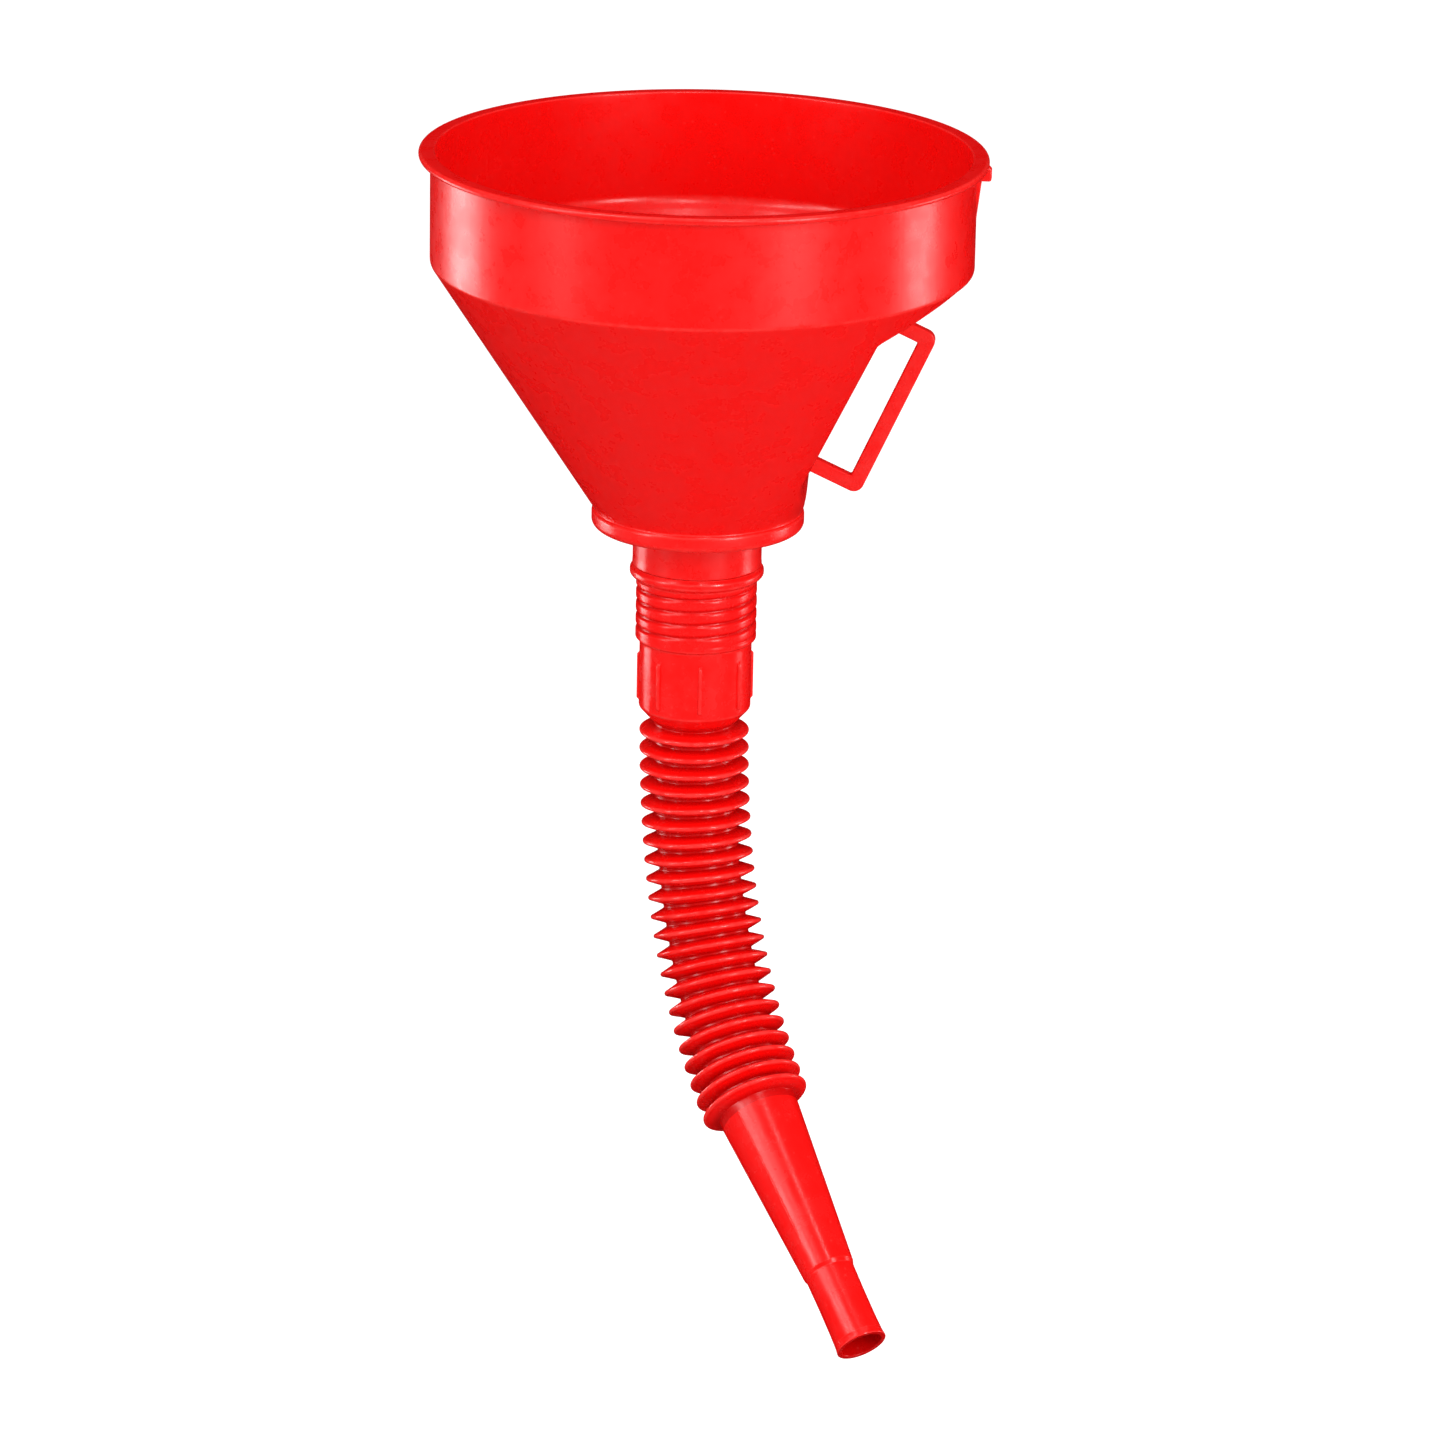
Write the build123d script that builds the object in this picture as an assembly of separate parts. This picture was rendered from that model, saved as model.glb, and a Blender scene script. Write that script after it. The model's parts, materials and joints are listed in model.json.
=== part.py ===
from build123d import *
import math
import os

os.makedirs("parts", exist_ok=True)

# A hand funnel with a screw-on bendable spout. Millimetres, +Z up along the bowl's axis.
# The origin is the centre of the mouth, in the plane of the rim's top face, and +X points
# to the finger handle. The spout is drawn at rest with its bellows bent to one side.

# ---- bowl ----
mouth_r = 80.0            # outside of the rim
rim_lip = 3.3             # how far the rim stands out from the wall
rim_thick = 2.0
wall = 1.25               # moulded wall of the bowl
wall_h = 31.7             # upright wall under the mouth
cone_half_angle = 33.25   # degrees from the axis
corner_round = 2.5        # outside corner between upright wall and cone
ledge_gap = 0.25          # bore's end, above the recess's inner ledge
collar_r = 30.35          # collar ring that holds the strainer
collar_h = 5.3
collar_step = 0.75        # how far the collar stands out from the foot of the cone
edge_round = 0.8
floor_thick = 1.5         # flat floor inside the collar
seat_r = 28.0             # strainer's seat

# ---- finger recess: a flat cut across the cone, under the handle's side ----
shelf_out_x = 74.3        # where the recess starts, under the upright wall
knee = (52.7, -42.3)      # upper inside corner of the recess, as x and z
heel = (30.6, -91.1)      # lower inside corner
cut_reach = 95.0          # past the bowl on every side

# ---- finger handle ----
handle_gap = 12.2         # finger room between recess and bar
bar_w = 4.4               # the bar, seen from the side
arm_w = 4.2               # the two arms
bar_thick = 3.6           # handle across
handle_top = 1.5          # top arm below the knee, along the recess
handle_bottom = 0.2       # bottom arm above the heel, along the recess
bar_round = 3.0

# ---- rim lug and its gusset ----
lug_w = 3.2
lug_reach = 0.7           # past the rim
lug_h = 3.4
gusset_w = 1.4
gusset_out = 1.3
gusset_h = 14.0

# ---- neck and screw spigot ----
neck_r = 18.45
neck_h = 11.35
spigot_r = 16.0           # over the thread's crests
thread_pitch = 3.8
thread_turns = 5
thread_end = 1.8          # plain ends of the spigot, beyond the turns
throat_r = 14.3
throat_top_r = 17.0

# ---- strainer ----
strainer_gap = 0.4        # all round, in its seat
rest_gap = 0.1            # under a piece that stands in another
strainer_h = 3.2
strainer_rim = 2.0
spoke_w = 2.0
spoke_h = 1.2
spoke_count = 4
hub_r = 4.0
gauze_thick = 0.4
tab_w = 6.4
tab_h = 8.0
tab_thick = 1.8

# ---- screw cuff ----
thread_fit = 0.08         # radial, between spigot and sleeve
sleeve_wall = 1.27
cuff_r = 16.1
cuff_wall = 1.5
bead_out = 1.85           # the bead stands out from the sleeve
bead_h = 4.0
bead_land = 1.6           # height of the bead before it is rounded
bead_round = 1.2
washer_thick = 0.9
washer_gap = 0.1
washer_wall = 1.5
rib_count = 8
rib_out = 0.55
rib_w = 1.1
rib_len = 14.7
rib_from_top = 4.4        # below the sleeve
rib_first = 10.0          # degrees from +X
cuff_len = 25.5           # from the sleeve down to the first bending point
cuff_round = 4.0

# ---- bellows: rigid rings, one per fold, that turn on each other at the valleys ----
fold_count = 22
fold_pitch = 5.35
crest_r = 15.8
crest_land = 0.9          # height of the crest before it is rounded
crest_round = 0.6
valley_r = 12.45
fold_wall = 0.9
valley_gap = 0.8          # from a ring's end to the bending point
ball_r = 11.6             # spherical lap inside the next ring
ball_wall = 0.8
ball_gap = 0.35
ball_reach = 1.9          # lap past the bending point

# ---- the bend at rest ----
bend_side = -56.3         # degrees from +X, the side that the spout leans to
bend_full = 3.05          # degrees at each bending point, far down the bellows
bend_half_at = 3.55       # bending point with half of that
bend_spread = 5.65        # how many folds the bend takes to come in

# ---- nozzle ----
nozzle_top_r = 11.57
nozzle_step_r = 7.58
taper_len = 53.1
taper_from = 1.0
tip_r = 7.15
tip_len = 25.0
tip_step = 1.2
nozzle_wall = 1.2
tip_chamfer = 0.35

# ---- worked out from the above ----
slope = math.tan(math.radians(cone_half_angle))
wall_r = mouth_r - rim_lip
cone_foot_r = collar_r - collar_step
cone_foot_z = -wall_h - (wall_r - cone_foot_r) / slope
collar_z = cone_foot_z - collar_h
seat_z = collar_z + floor_thick
neck_z = collar_z - neck_h
spigot_z = neck_z - thread_turns * thread_pitch - thread_end
sleeve_in_r = spigot_r + thread_fit
sleeve_r = sleeve_in_r + sleeve_wall
sleeve_top_z = neck_z - rest_gap
washer_top_z = spigot_z - washer_gap
sleeve_z = washer_top_z - washer_thick - rest_gap
pivot_z = sleeve_z - cuff_len
cuff_in_r = cuff_r - cuff_wall


def corner(before, here, after, rounding):
    """Where a rounded corner starts, its middle point and where it ends."""
    here = Vector(*here)
    back = (Vector(*before) - here).normalized()
    ahead = (Vector(*after) - here).normalized()
    half = math.acos(max(-1, min(1, back.dot(ahead)))) / 2
    reach = rounding / math.tan(half)
    middle = here + (back + ahead).normalized() * (rounding / math.sin(half) - rounding)
    return here + back * reach, middle, here + ahead * reach


def outline(corners):
    """A face in the XZ plane. Each corner is x, z and, if it is rounded, a radius."""
    points = [(c[0], 0, c[1]) for c in corners]
    roundings = [c[2] if len(c) > 2 else 0 for c in corners]
    count = len(points)
    starts, ends, edges = [], [], []
    for i in range(count):
        here = Vector(*points[i])
        if roundings[i] > 0:
            start, middle, end = corner(points[i - 1], points[i], points[(i + 1) % count], roundings[i])
            edges.append(ThreePointArc(start, middle, end))
        else:
            start = end = here
        starts.append(start)
        ends.append(end)
    for i in range(count):
        edges.append(Line(ends[i], starts[(i + 1) % count]))
    return make_face(edges)


def turned(corners):
    """The outline carried once round the Z axis."""
    return revolve(outline(corners), Axis.Z)


def across(corners, width):
    """The outline given a width along Y, the same each side of the XZ plane."""
    return extrude(outline(corners), width / 2, both=True)


def spot(point, direction):
    """A place whose own +Z points up the spout, against the flow."""
    up = -direction
    side = Vector(-math.sin(math.radians(bend_side)), math.cos(math.radians(bend_side)), 0)
    return Plane(origin=point, x_dir=side.cross(up), z_dir=up)


# ---- bowl ----
# inside of the bowl, one wall in from its outside
skin = wall / math.cos(math.radians(cone_half_angle))
in_wall_r = wall_r - wall
in_wall_z = -wall_h - (in_wall_r - wall_r + skin) / slope
in_foot_z = -wall_h - (wall_r - skin - seat_r) / slope
corner_rise = wall + ledge_gap - wall_h - in_wall_z
in_corner_round = corner_rise / math.tan(math.radians(cone_half_angle / 2))

recess = [
    (cut_reach, -wall_h),
    (shelf_out_x, -wall_h),
    knee,
    heel,
    (heel[0], collar_z),
    (cut_reach, collar_z),
]


def make_bowl():
    body = turned([
        (0, 0),
        (mouth_r, 0, edge_round),
        (mouth_r, -rim_thick, edge_round),
        (wall_r, -rim_thick, edge_round),
        (wall_r, -wall_h, corner_round),
        (cone_foot_r, cone_foot_z),
        (collar_r, cone_foot_z - collar_step, edge_round),
        (collar_r, collar_z, edge_round),
        (neck_r, collar_z),
        (neck_r, neck_z, edge_round / 2),
        (spigot_r, neck_z),
        (spigot_r, spigot_z, edge_round / 2),
        (0, spigot_z),
    ])
    cavity = turned([
        (0, rim_thick),
        (in_wall_r, rim_thick),
        (in_wall_r, in_wall_z, in_corner_round),
        (seat_r, in_foot_z),
        (seat_r, seat_z),
        (0, seat_z),
    ])
    throat = turned([
        (0, seat_z + floor_thick),
        (throat_top_r, seat_z + floor_thick),
        (throat_top_r, seat_z - floor_thick),
        (throat_r, neck_z),
        (throat_r, spigot_z - floor_thick),
        (0, spigot_z - floor_thick),
    ])
    cut = outline(recess)
    body -= extrude(cut, cut_reach, both=True)
    bulge = offset(cut, wall, kind=Kind.INTERSECTION)
    cavity -= extrude(bulge, cut_reach, both=True)
    body = body - cavity - throat
    root = wall_r - wall / 2
    lug = across([
        (root, -rim_thick / 2),
        (mouth_r, -rim_thick / 2),
        (mouth_r + lug_reach, -rim_thick),
        (mouth_r + lug_reach, -rim_thick - lug_h),
        (root, -rim_thick - lug_h),
    ], lug_w)
    gusset = across([
        (root, -rim_thick - lug_h + edge_round),
        (wall_r + gusset_out, -rim_thick - lug_h + edge_round),
        (wall_r + gusset_out, -rim_thick - lug_h),
        (wall_r - wall / 4, -rim_thick - lug_h - gusset_h),
        (root, -rim_thick - lug_h - gusset_h),
    ], gusset_w)
    return body + lug + gusset


# ---- finger handle: an open loop whose two arms end on the recess's flat face ----
face_run = Vector(heel[0] - knee[0], 0, heel[1] - knee[1])
face_len = face_run.length
face_dir = face_run.normalized()
face_out = Vector(-face_dir.Z, 0, face_dir.X)


def on_face(down, out):
    """A point down the recess's flat face from the knee, and out from that face."""
    point = Vector(knee[0], 0, knee[1]) + face_dir * down + face_out * out
    return point.X, point.Z


def make_handle():
    top = handle_top
    bottom = face_len - handle_bottom
    reach = handle_gap + bar_w
    loop = across([
        on_face(top, 0),
        on_face(top, reach) + (bar_round,),
        on_face(bottom, reach) + (bar_round,),
        on_face(bottom, 0),
        on_face(bottom - arm_w, 0),
        on_face(bottom - arm_w, handle_gap),
        on_face(top + arm_w, handle_gap),
        on_face(top + arm_w, 0),
    ], bar_thick)
    return loop


# ---- strainer ----
strainer_r = seat_r - strainer_gap
strainer_z = seat_z + rest_gap
gauze_z = strainer_z + spoke_h


def make_strainer_frame():
    inside = strainer_r - strainer_rim
    frame = turned([
        (inside, strainer_z),
        (strainer_r, strainer_z),
        (strainer_r, strainer_z + strainer_h, edge_round),
        (inside, strainer_z + strainer_h),
    ])
    frame += Pos(0, 0, strainer_z) * Cylinder(
        hub_r, spoke_h + gauze_thick, align=(Align.CENTER, Align.CENTER, Align.MIN))
    spoke = Pos(0, 0, strainer_z) * Box(
        inside + strainer_rim / 2, spoke_w, spoke_h, align=(Align.MIN, Align.CENTER, Align.MIN))
    for i in range(spoke_count):
        frame += Rot(0, 0, 45 + i * 360 / spoke_count) * spoke
    tab_foot = strainer_z + spoke_h + gauze_thick
    frame += across([
        (-tab_w / 2, tab_foot - spoke_h / 2),
        (tab_w / 2, tab_foot - spoke_h / 2),
        (tab_w / 2, tab_foot + tab_h, tab_w / 3),
        (-tab_w / 2, tab_foot + tab_h, tab_w / 3),
    ], tab_thick)
    return frame


def make_gauze():
    return turned([
        (hub_r, gauze_z),
        (strainer_r - strainer_rim, gauze_z),
        (strainer_r - strainer_rim, gauze_z + gauze_thick),
        (hub_r, gauze_z + gauze_thick),
    ])


# ---- washer and screw cuff ----
def make_washer():
    outside = sleeve_in_r - washer_gap
    return turned([
        (outside - washer_wall, washer_top_z - washer_thick),
        (outside, washer_top_z - washer_thick),
        (outside, washer_top_z),
        (outside - washer_wall, washer_top_z),
    ])


def socket_r(above):
    """Inside of a ring's lower end, round the ball lap of the ring below it."""
    return math.sqrt((ball_r + ball_gap) ** 2 - above ** 2)


def make_cuff():
    end_z = pivot_z + valley_gap
    bead_z = sleeve_top_z - bead_h
    bead_r = sleeve_r + bead_out
    bead_mid_z = (sleeve_top_z + bead_z) / 2
    cuff = turned([
        (sleeve_in_r, sleeve_top_z),
        (bead_r - edge_round, sleeve_top_z, edge_round / 2),
        (bead_r, bead_mid_z + bead_land / 2, bead_round),
        (bead_r, bead_mid_z - bead_land / 2, bead_round),
        (sleeve_r, bead_z, edge_round),
        (sleeve_r, sleeve_z, edge_round),
        (cuff_r, sleeve_z - edge_round),
        (cuff_r, end_z + cuff_round, cuff_round),
        (valley_r, end_z),
        (socket_r(valley_gap), end_z),
        (socket_r(valley_gap), end_z + fold_wall, fold_wall / 2),
        (cuff_in_r, end_z + cuff_round + cuff_wall, cuff_round - cuff_wall),
        (cuff_in_r, sleeve_z),
        (sleeve_in_r, sleeve_z),
    ])
    rib_z = sleeve_z - rib_from_top - rib_len
    rib_root = cuff_r - cuff_wall / 2
    rib = Pos(rib_root, 0, rib_z) * Box(
        cuff_r + rib_out - rib_root, rib_w, rib_len, align=(Align.MIN, Align.CENTER, Align.MIN))
    rib = fillet(rib.edges().filter_by(Axis.Z).group_by(Axis.X)[-1], rib_w / 3)
    for i in range(rib_count):
        cuff += Rot(0, 0, rib_first + i * 360 / rib_count) * rib
    return cuff


# ---- bellows ----
def bend_at(i):
    """Degrees of bend at rest at bending point i, which comes in smoothly down the bellows."""
    return bend_full / (1 + math.exp((bend_half_at - i) / bend_spread))


def heading(angle):
    """The way the spout runs where it is bent by this angle, in degrees."""
    lean = math.sin(math.radians(angle))
    side = math.radians(bend_side)
    return Vector(lean * math.cos(side), lean * math.sin(side), -math.cos(math.radians(angle)))


pivots = [Vector(0, 0, pivot_z)]
headings = []
total = 0.0
for i in range(fold_count + 1):
    total += bend_at(i)
    headings.append(heading(total))
    if i < fold_count:
        pivots.append(pivots[-1] + headings[-1] * fold_pitch)


def lap_face():
    """Outline of the lap: two arcs about the bending point, closed by its rim and its root."""
    inner = ball_r - ball_wall
    low = -valley_gap - fold_wall
    out_top = (math.sqrt(ball_r ** 2 - ball_reach ** 2), 0, ball_reach)
    out_low = (math.sqrt(ball_r ** 2 - low ** 2), 0, low)
    in_top = (math.sqrt(inner ** 2 - ball_reach ** 2), 0, ball_reach)
    in_low = (math.sqrt(inner ** 2 - low ** 2), 0, low)
    return make_face([
        ThreePointArc(out_low, (ball_r, 0, 0), out_top),
        Line(out_top, in_top),
        ThreePointArc(in_top, (inner, 0, 0), in_low),
        Line(in_low, out_low),
    ])


def make_ring():
    """One fold about its own centre, its axis along Z and its lap at the top."""
    half = fold_pitch / 2
    end = half - valley_gap
    land = crest_land / 2
    rise = (end - land) / (crest_r - valley_r)
    skin_z = fold_wall * math.sqrt(1 + rise ** 2)
    skin_r = skin_z / rise
    low_in = socket_r(valley_gap)
    web_r = ball_r - ball_wall / 2
    ring = turned([
        (valley_r, end),
        (crest_r, land, crest_round),
        (crest_r, -land, crest_round),
        (valley_r, -end),
        (low_in, -end),
        (low_in, -end + skin_z),
        (crest_r - skin_r + land / rise, 0),
        (valley_r, end - skin_z),
        (web_r, end - skin_z),
        (web_r, end),
    ])
    return ring + revolve(Pos(0, 0, half) * lap_face(), Axis.Z)


def make_nozzle():
    """The nozzle about its own bending point, with the flow along -Z."""
    step_z = -taper_from - taper_len
    end_z = step_z - tip_len
    web_r = ball_r - ball_wall / 2
    body = turned([
        (web_r, -valley_gap),
        (valley_r, -valley_gap, edge_round / 4),
        (nozzle_top_r, -valley_gap - taper_from, edge_round / 4),
        (nozzle_step_r, step_z, edge_round / 2),
        (tip_r, step_z - tip_step, edge_round / 2),
        (tip_r, end_z, tip_chamfer),
        (tip_r - nozzle_wall, end_z),
        (tip_r - nozzle_wall, step_z - tip_step),
        (nozzle_step_r - nozzle_wall, step_z),
        (nozzle_top_r - nozzle_wall, -valley_gap - taper_from),
    ])
    return body + revolve(lap_face(), Axis.Z)


# ---- build and write ----
nodes = {
    "funnel_bowl": make_bowl(),
    "finger_handle": make_handle(),
    "strainer_frame": make_strainer_frame(),
    "strainer_gauze": make_gauze(),
    "neck_washer": make_washer(),
    "spout_cuff": make_cuff(),
}
fold = make_ring()
for i in range(fold_count):
    centre = pivots[i] + headings[i] * (fold_pitch / 2)
    nodes[f"bellows_fold_{i + 1:02d}"] = spot(centre, headings[i]).location * fold
nodes["spout_nozzle"] = spot(pivots[-1], headings[-1]).location * make_nozzle()

for name, shape in nodes.items():
    shape.label = name
    export_step(shape, f"parts/{name}.step")
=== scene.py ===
import json
import logging
import math
from dataclasses import dataclass, field
from enum import Enum
from typing import Sequence

import bpy
import numpy as np
from mathutils import Matrix, Vector


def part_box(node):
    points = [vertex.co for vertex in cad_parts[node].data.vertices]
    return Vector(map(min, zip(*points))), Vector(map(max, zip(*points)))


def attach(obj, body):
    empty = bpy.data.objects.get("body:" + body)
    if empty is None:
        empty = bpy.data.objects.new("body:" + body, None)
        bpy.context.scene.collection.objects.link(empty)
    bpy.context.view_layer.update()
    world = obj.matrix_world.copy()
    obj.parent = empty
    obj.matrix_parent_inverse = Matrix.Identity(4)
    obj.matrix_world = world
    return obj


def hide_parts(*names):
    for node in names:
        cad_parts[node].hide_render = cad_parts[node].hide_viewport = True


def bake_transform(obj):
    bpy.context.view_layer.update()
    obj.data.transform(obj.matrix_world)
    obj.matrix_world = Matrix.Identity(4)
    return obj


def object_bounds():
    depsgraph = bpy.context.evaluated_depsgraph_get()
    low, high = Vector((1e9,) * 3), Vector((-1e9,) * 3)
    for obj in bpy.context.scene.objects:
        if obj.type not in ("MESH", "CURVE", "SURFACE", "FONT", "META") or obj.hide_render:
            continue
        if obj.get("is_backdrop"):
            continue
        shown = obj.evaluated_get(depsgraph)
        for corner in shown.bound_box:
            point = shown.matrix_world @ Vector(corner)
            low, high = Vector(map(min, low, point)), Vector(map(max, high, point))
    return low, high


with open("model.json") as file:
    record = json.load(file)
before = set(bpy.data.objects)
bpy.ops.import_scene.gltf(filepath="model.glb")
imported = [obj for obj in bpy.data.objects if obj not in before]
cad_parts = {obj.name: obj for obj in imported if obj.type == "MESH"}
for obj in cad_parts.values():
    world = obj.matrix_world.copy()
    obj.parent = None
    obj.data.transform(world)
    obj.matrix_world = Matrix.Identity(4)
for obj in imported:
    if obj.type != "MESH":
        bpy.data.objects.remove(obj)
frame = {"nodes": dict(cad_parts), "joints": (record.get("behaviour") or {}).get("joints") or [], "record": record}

# A hand funnel with a finger handle, a lift-out strainer and a screw-on bendable spout.
# Sizes in the classes are in millimetres, in the frame's axes: +Z up out of the mouth, +X to the
# handle. Draft.piece turns them into metres. Places along the spout come from the frame's joints.

log = logging.getLogger("funnel")
Array = np.ndarray
MM = 0.001
CAD_BOX = [list(corner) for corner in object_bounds()]


def low_z(node: str) -> float:
    """Lowest height of a CAD node, in millimetres."""
    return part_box(node)[0][2] / MM


def smoothstep(value: Array) -> Array:
    """3t² - 2t³ of the value held between 0 and 1."""
    t = np.clip(value, 0, 1)
    return t * t * (3 - 2 * t)


def soft_min(a: Array, b: Array, width: float) -> Array:
    """The smaller of a and b, with the corner between them rounded over width."""
    near = np.clip(1 - np.abs(a - b) / width, 0, 1)
    return np.minimum(a, b) - near**2 * width / 4


def rounded(corners: Sequence[tuple[float, ...]], closed: bool = True, steps: int = 6) -> Array:
    """Points of an outline whose corners are arcs.

    At each corner the arc leaves the edges at radius / tan(half the corner's angle) from it, and
    its points are the quadratic blend of the two leaving points and the arc's own middle.

    Args:
        corners: Each is r, z and, if it is rounded, a radius.
        closed: Whether the last corner joins the first.
        steps: Spans in each arc.

    Returns:
        Rows of r, z and an edge value, 1 on an arc and 0 elsewhere.
    """
    points = np.array([c[:2] for c in corners], float)
    rows = []
    for i, corner in enumerate(corners):
        here = points[i]
        if len(corner) < 3 or (not closed and i in (0, len(corners) - 1)):
            rows.append([[here[0], here[1], 0.0]])
            continue
        back = points[i - 1] - here
        ahead = points[(i + 1) % len(points)] - here
        back, room_back = back / np.linalg.norm(back), np.linalg.norm(back)
        ahead, room_ahead = ahead / np.linalg.norm(ahead), np.linalg.norm(ahead)
        half = math.acos(max(-1.0, min(1.0, float(back @ ahead)))) / 2
        reach = min(corner[2] / math.tan(half), 0.49 * room_back, 0.49 * room_ahead)
        radius = reach * math.tan(half)
        centre = here + (back + ahead) / np.linalg.norm(back + ahead) * radius / math.sin(half)
        first, last = here + back * reach - centre, here + ahead * reach - centre
        turn = math.atan2(first[0] * last[1] - first[1] * last[0], float(first @ last))
        angle = np.linspace(0, turn, steps + 1)
        x = centre[0] + first[0] * np.cos(angle) - first[1] * np.sin(angle)
        y = centre[1] + first[0] * np.sin(angle) + first[1] * np.cos(angle)
        rows.append(np.stack([x, y, np.sin(np.linspace(0, math.pi, steps + 1))], axis=1))
    return np.concatenate([np.asarray(r, float) for r in rows])


def spaced(points: Array, step: float, closed: bool = False) -> Array:
    """Adds points along the straight spans of an outline, so that none is longer than step."""
    after = np.roll(points, -1, axis=0) if closed else points[1:]
    before = points if closed else points[:-1]
    spans = np.maximum(1, np.ceil(np.linalg.norm((after - before)[:, :2], axis=1) / step)).astype(int)
    whole = np.repeat(np.arange(len(spans)), spans)
    part = (np.arange(spans.sum()) - np.repeat(np.cumsum(spans) - spans, spans)) / spans[whole]
    found = before[whole] + (after - before)[whole] * part[:, None]
    return found if closed else np.vstack([found, points[-1]])


@dataclass(frozen=True)
class Axle:
    """A place on a centre line: its point and three directions at right angles, in millimetres."""

    point: Array
    side: Array
    front: Array
    along: Array

    def place(self, radius: Array, angle: Array, travel: Array) -> Array:
        """point + along·travel + radius·(side·cos angle + front·sin angle), for whole arrays."""
        r, a, t = (np.asarray(v, float)[..., None] for v in (radius, angle, travel))
        return self.point + self.along * t + r * (self.side * np.cos(a) + self.front * np.sin(a))

    def at(self, travel: float) -> Array:
        """The point of the centre line that far along."""
        return self.point + self.along * travel


UPRIGHT = Axle(np.zeros(3), np.array([1.0, 0, 0]), np.array([0, 1.0, 0]), np.array([0, 0, 1.0]))


@dataclass
class Draft:
    """Closed shells gathered for one piece, with one value of each named mask at every point."""

    name: str
    points: list[Array] = field(default_factory=list)
    faces: list[Array] = field(default_factory=list)
    masks: dict[str, list[Array]] = field(default_factory=dict)
    count: int = 0

    def add(self, grid: Array, loop: bool = True, **masks: Array) -> "Draft":
        """Adds a shell from a grid of points whose columns always close on themselves.

        Args:
            grid: Points, rows by columns by 3.
            loop: Whether the last row joins the first. If it doesn't, a fan closes each end.
            masks: Named values, rows by columns.

        Returns:
            The draft itself.
        """
        rows, columns = grid.shape[:2]
        index = np.arange(rows * columns).reshape(rows, columns)
        below = np.roll(index, -1, axis=0) if loop else index[1:]
        here = index if loop else index[:-1]
        quads = np.stack([here, np.roll(here, -1, axis=1), np.roll(below, -1, axis=1), below], axis=-1)
        points, quads = grid.reshape(-1, 3), quads.reshape(-1, 4)
        tips = np.zeros((0, 3))
        if not loop:
            tips = np.stack([grid[0].mean(axis=0), grid[-1].mean(axis=0)])
            top, end = index[0], index[-1]
            fan = [
                np.stack([np.roll(top, -1), top, np.full(columns, rows * columns)], axis=1),
                np.stack([end, np.roll(end, -1), np.full(columns, rows * columns + 1)], axis=1),
            ]
            fan = np.concatenate(fan)
            quads = np.concatenate([quads, np.column_stack([fan, np.full(len(fan), -1)])])
        points = np.concatenate([points, tips])
        a, b, c = points[quads[:, 0]], points[quads[:, 1]], points[quads[:, 2]]
        d = points[np.where(quads[:, 3] < 0, quads[:, 2], quads[:, 3])]
        volume = np.einsum("ij,ij->", a, np.cross(b, c)) + np.einsum("ij,ij->", a, np.cross(c, d))
        if volume < 0:
            three = quads[:, 3] < 0
            turned = quads[:, ::-1].copy()
            turned[three] = np.column_stack([quads[three][:, 2::-1], np.full(three.sum(), -1)])
            quads = turned
        self.points.append(points)
        self.faces.append(np.where(quads < 0, -1, quads + self.count))
        for name in set(self.masks) | set(masks):
            values = np.broadcast_to(masks.get(name, 0.0), (rows, columns)).ravel()
            ends = np.zeros(len(tips))
            kept = self.masks.setdefault(name, [np.zeros(self.count)] if self.count else [])
            kept.append(np.concatenate([values, ends]))
        self.count += len(points)
        return self

    def piece(self, sharp: float = 38.0) -> bpy.types.Object:
        """The mesh object, smooth but for edges that turn more than sharp degrees."""
        faces = np.concatenate(self.faces)
        used = faces >= 0
        totals = used.sum(axis=1)
        corners = faces[used]
        mesh = bpy.data.meshes.new(self.name)
        mesh.vertices.add(self.count)
        mesh.vertices.foreach_set("co", (np.concatenate(self.points) * MM).astype(np.float32).ravel())
        mesh.loops.add(len(corners))
        mesh.loops.foreach_set("vertex_index", corners.astype(np.int32))
        mesh.polygons.add(len(faces))
        mesh.polygons.foreach_set("loop_start", (np.cumsum(totals) - totals).astype(np.int32))
        mesh.update(calc_edges=True)
        for name, values in self.masks.items():
            kept = mesh.attributes.new(name, "FLOAT", "POINT")
            kept.data.foreach_set("value", np.concatenate(values).astype(np.float32))
        mesh.shade_smooth()
        mesh.set_sharp_from_angle(angle=math.radians(sharp))
        made = bpy.data.objects.new(self.name, mesh)
        bpy.context.scene.collection.objects.link(made)
        return made


def lathe(draft: Draft, corners: Sequence[tuple[float, ...]], columns: int = 120, steps: int = 6) -> Draft:
    """Adds an outline carried once round the Z axis: (r cos a, r sin a, z) for each of its points."""
    outline = rounded(corners, steps=steps)
    angle = np.linspace(0, 2 * math.pi, columns, endpoint=False)
    grid = UPRIGHT.place(outline[:, :1], angle[None, :], outline[:, 1:2])
    # Rounded arcs are marked for the pale colour of painted highlight and handling wear.
    return draft.add(grid, edge=np.repeat(outline[:, 2:], columns, axis=1))


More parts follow.
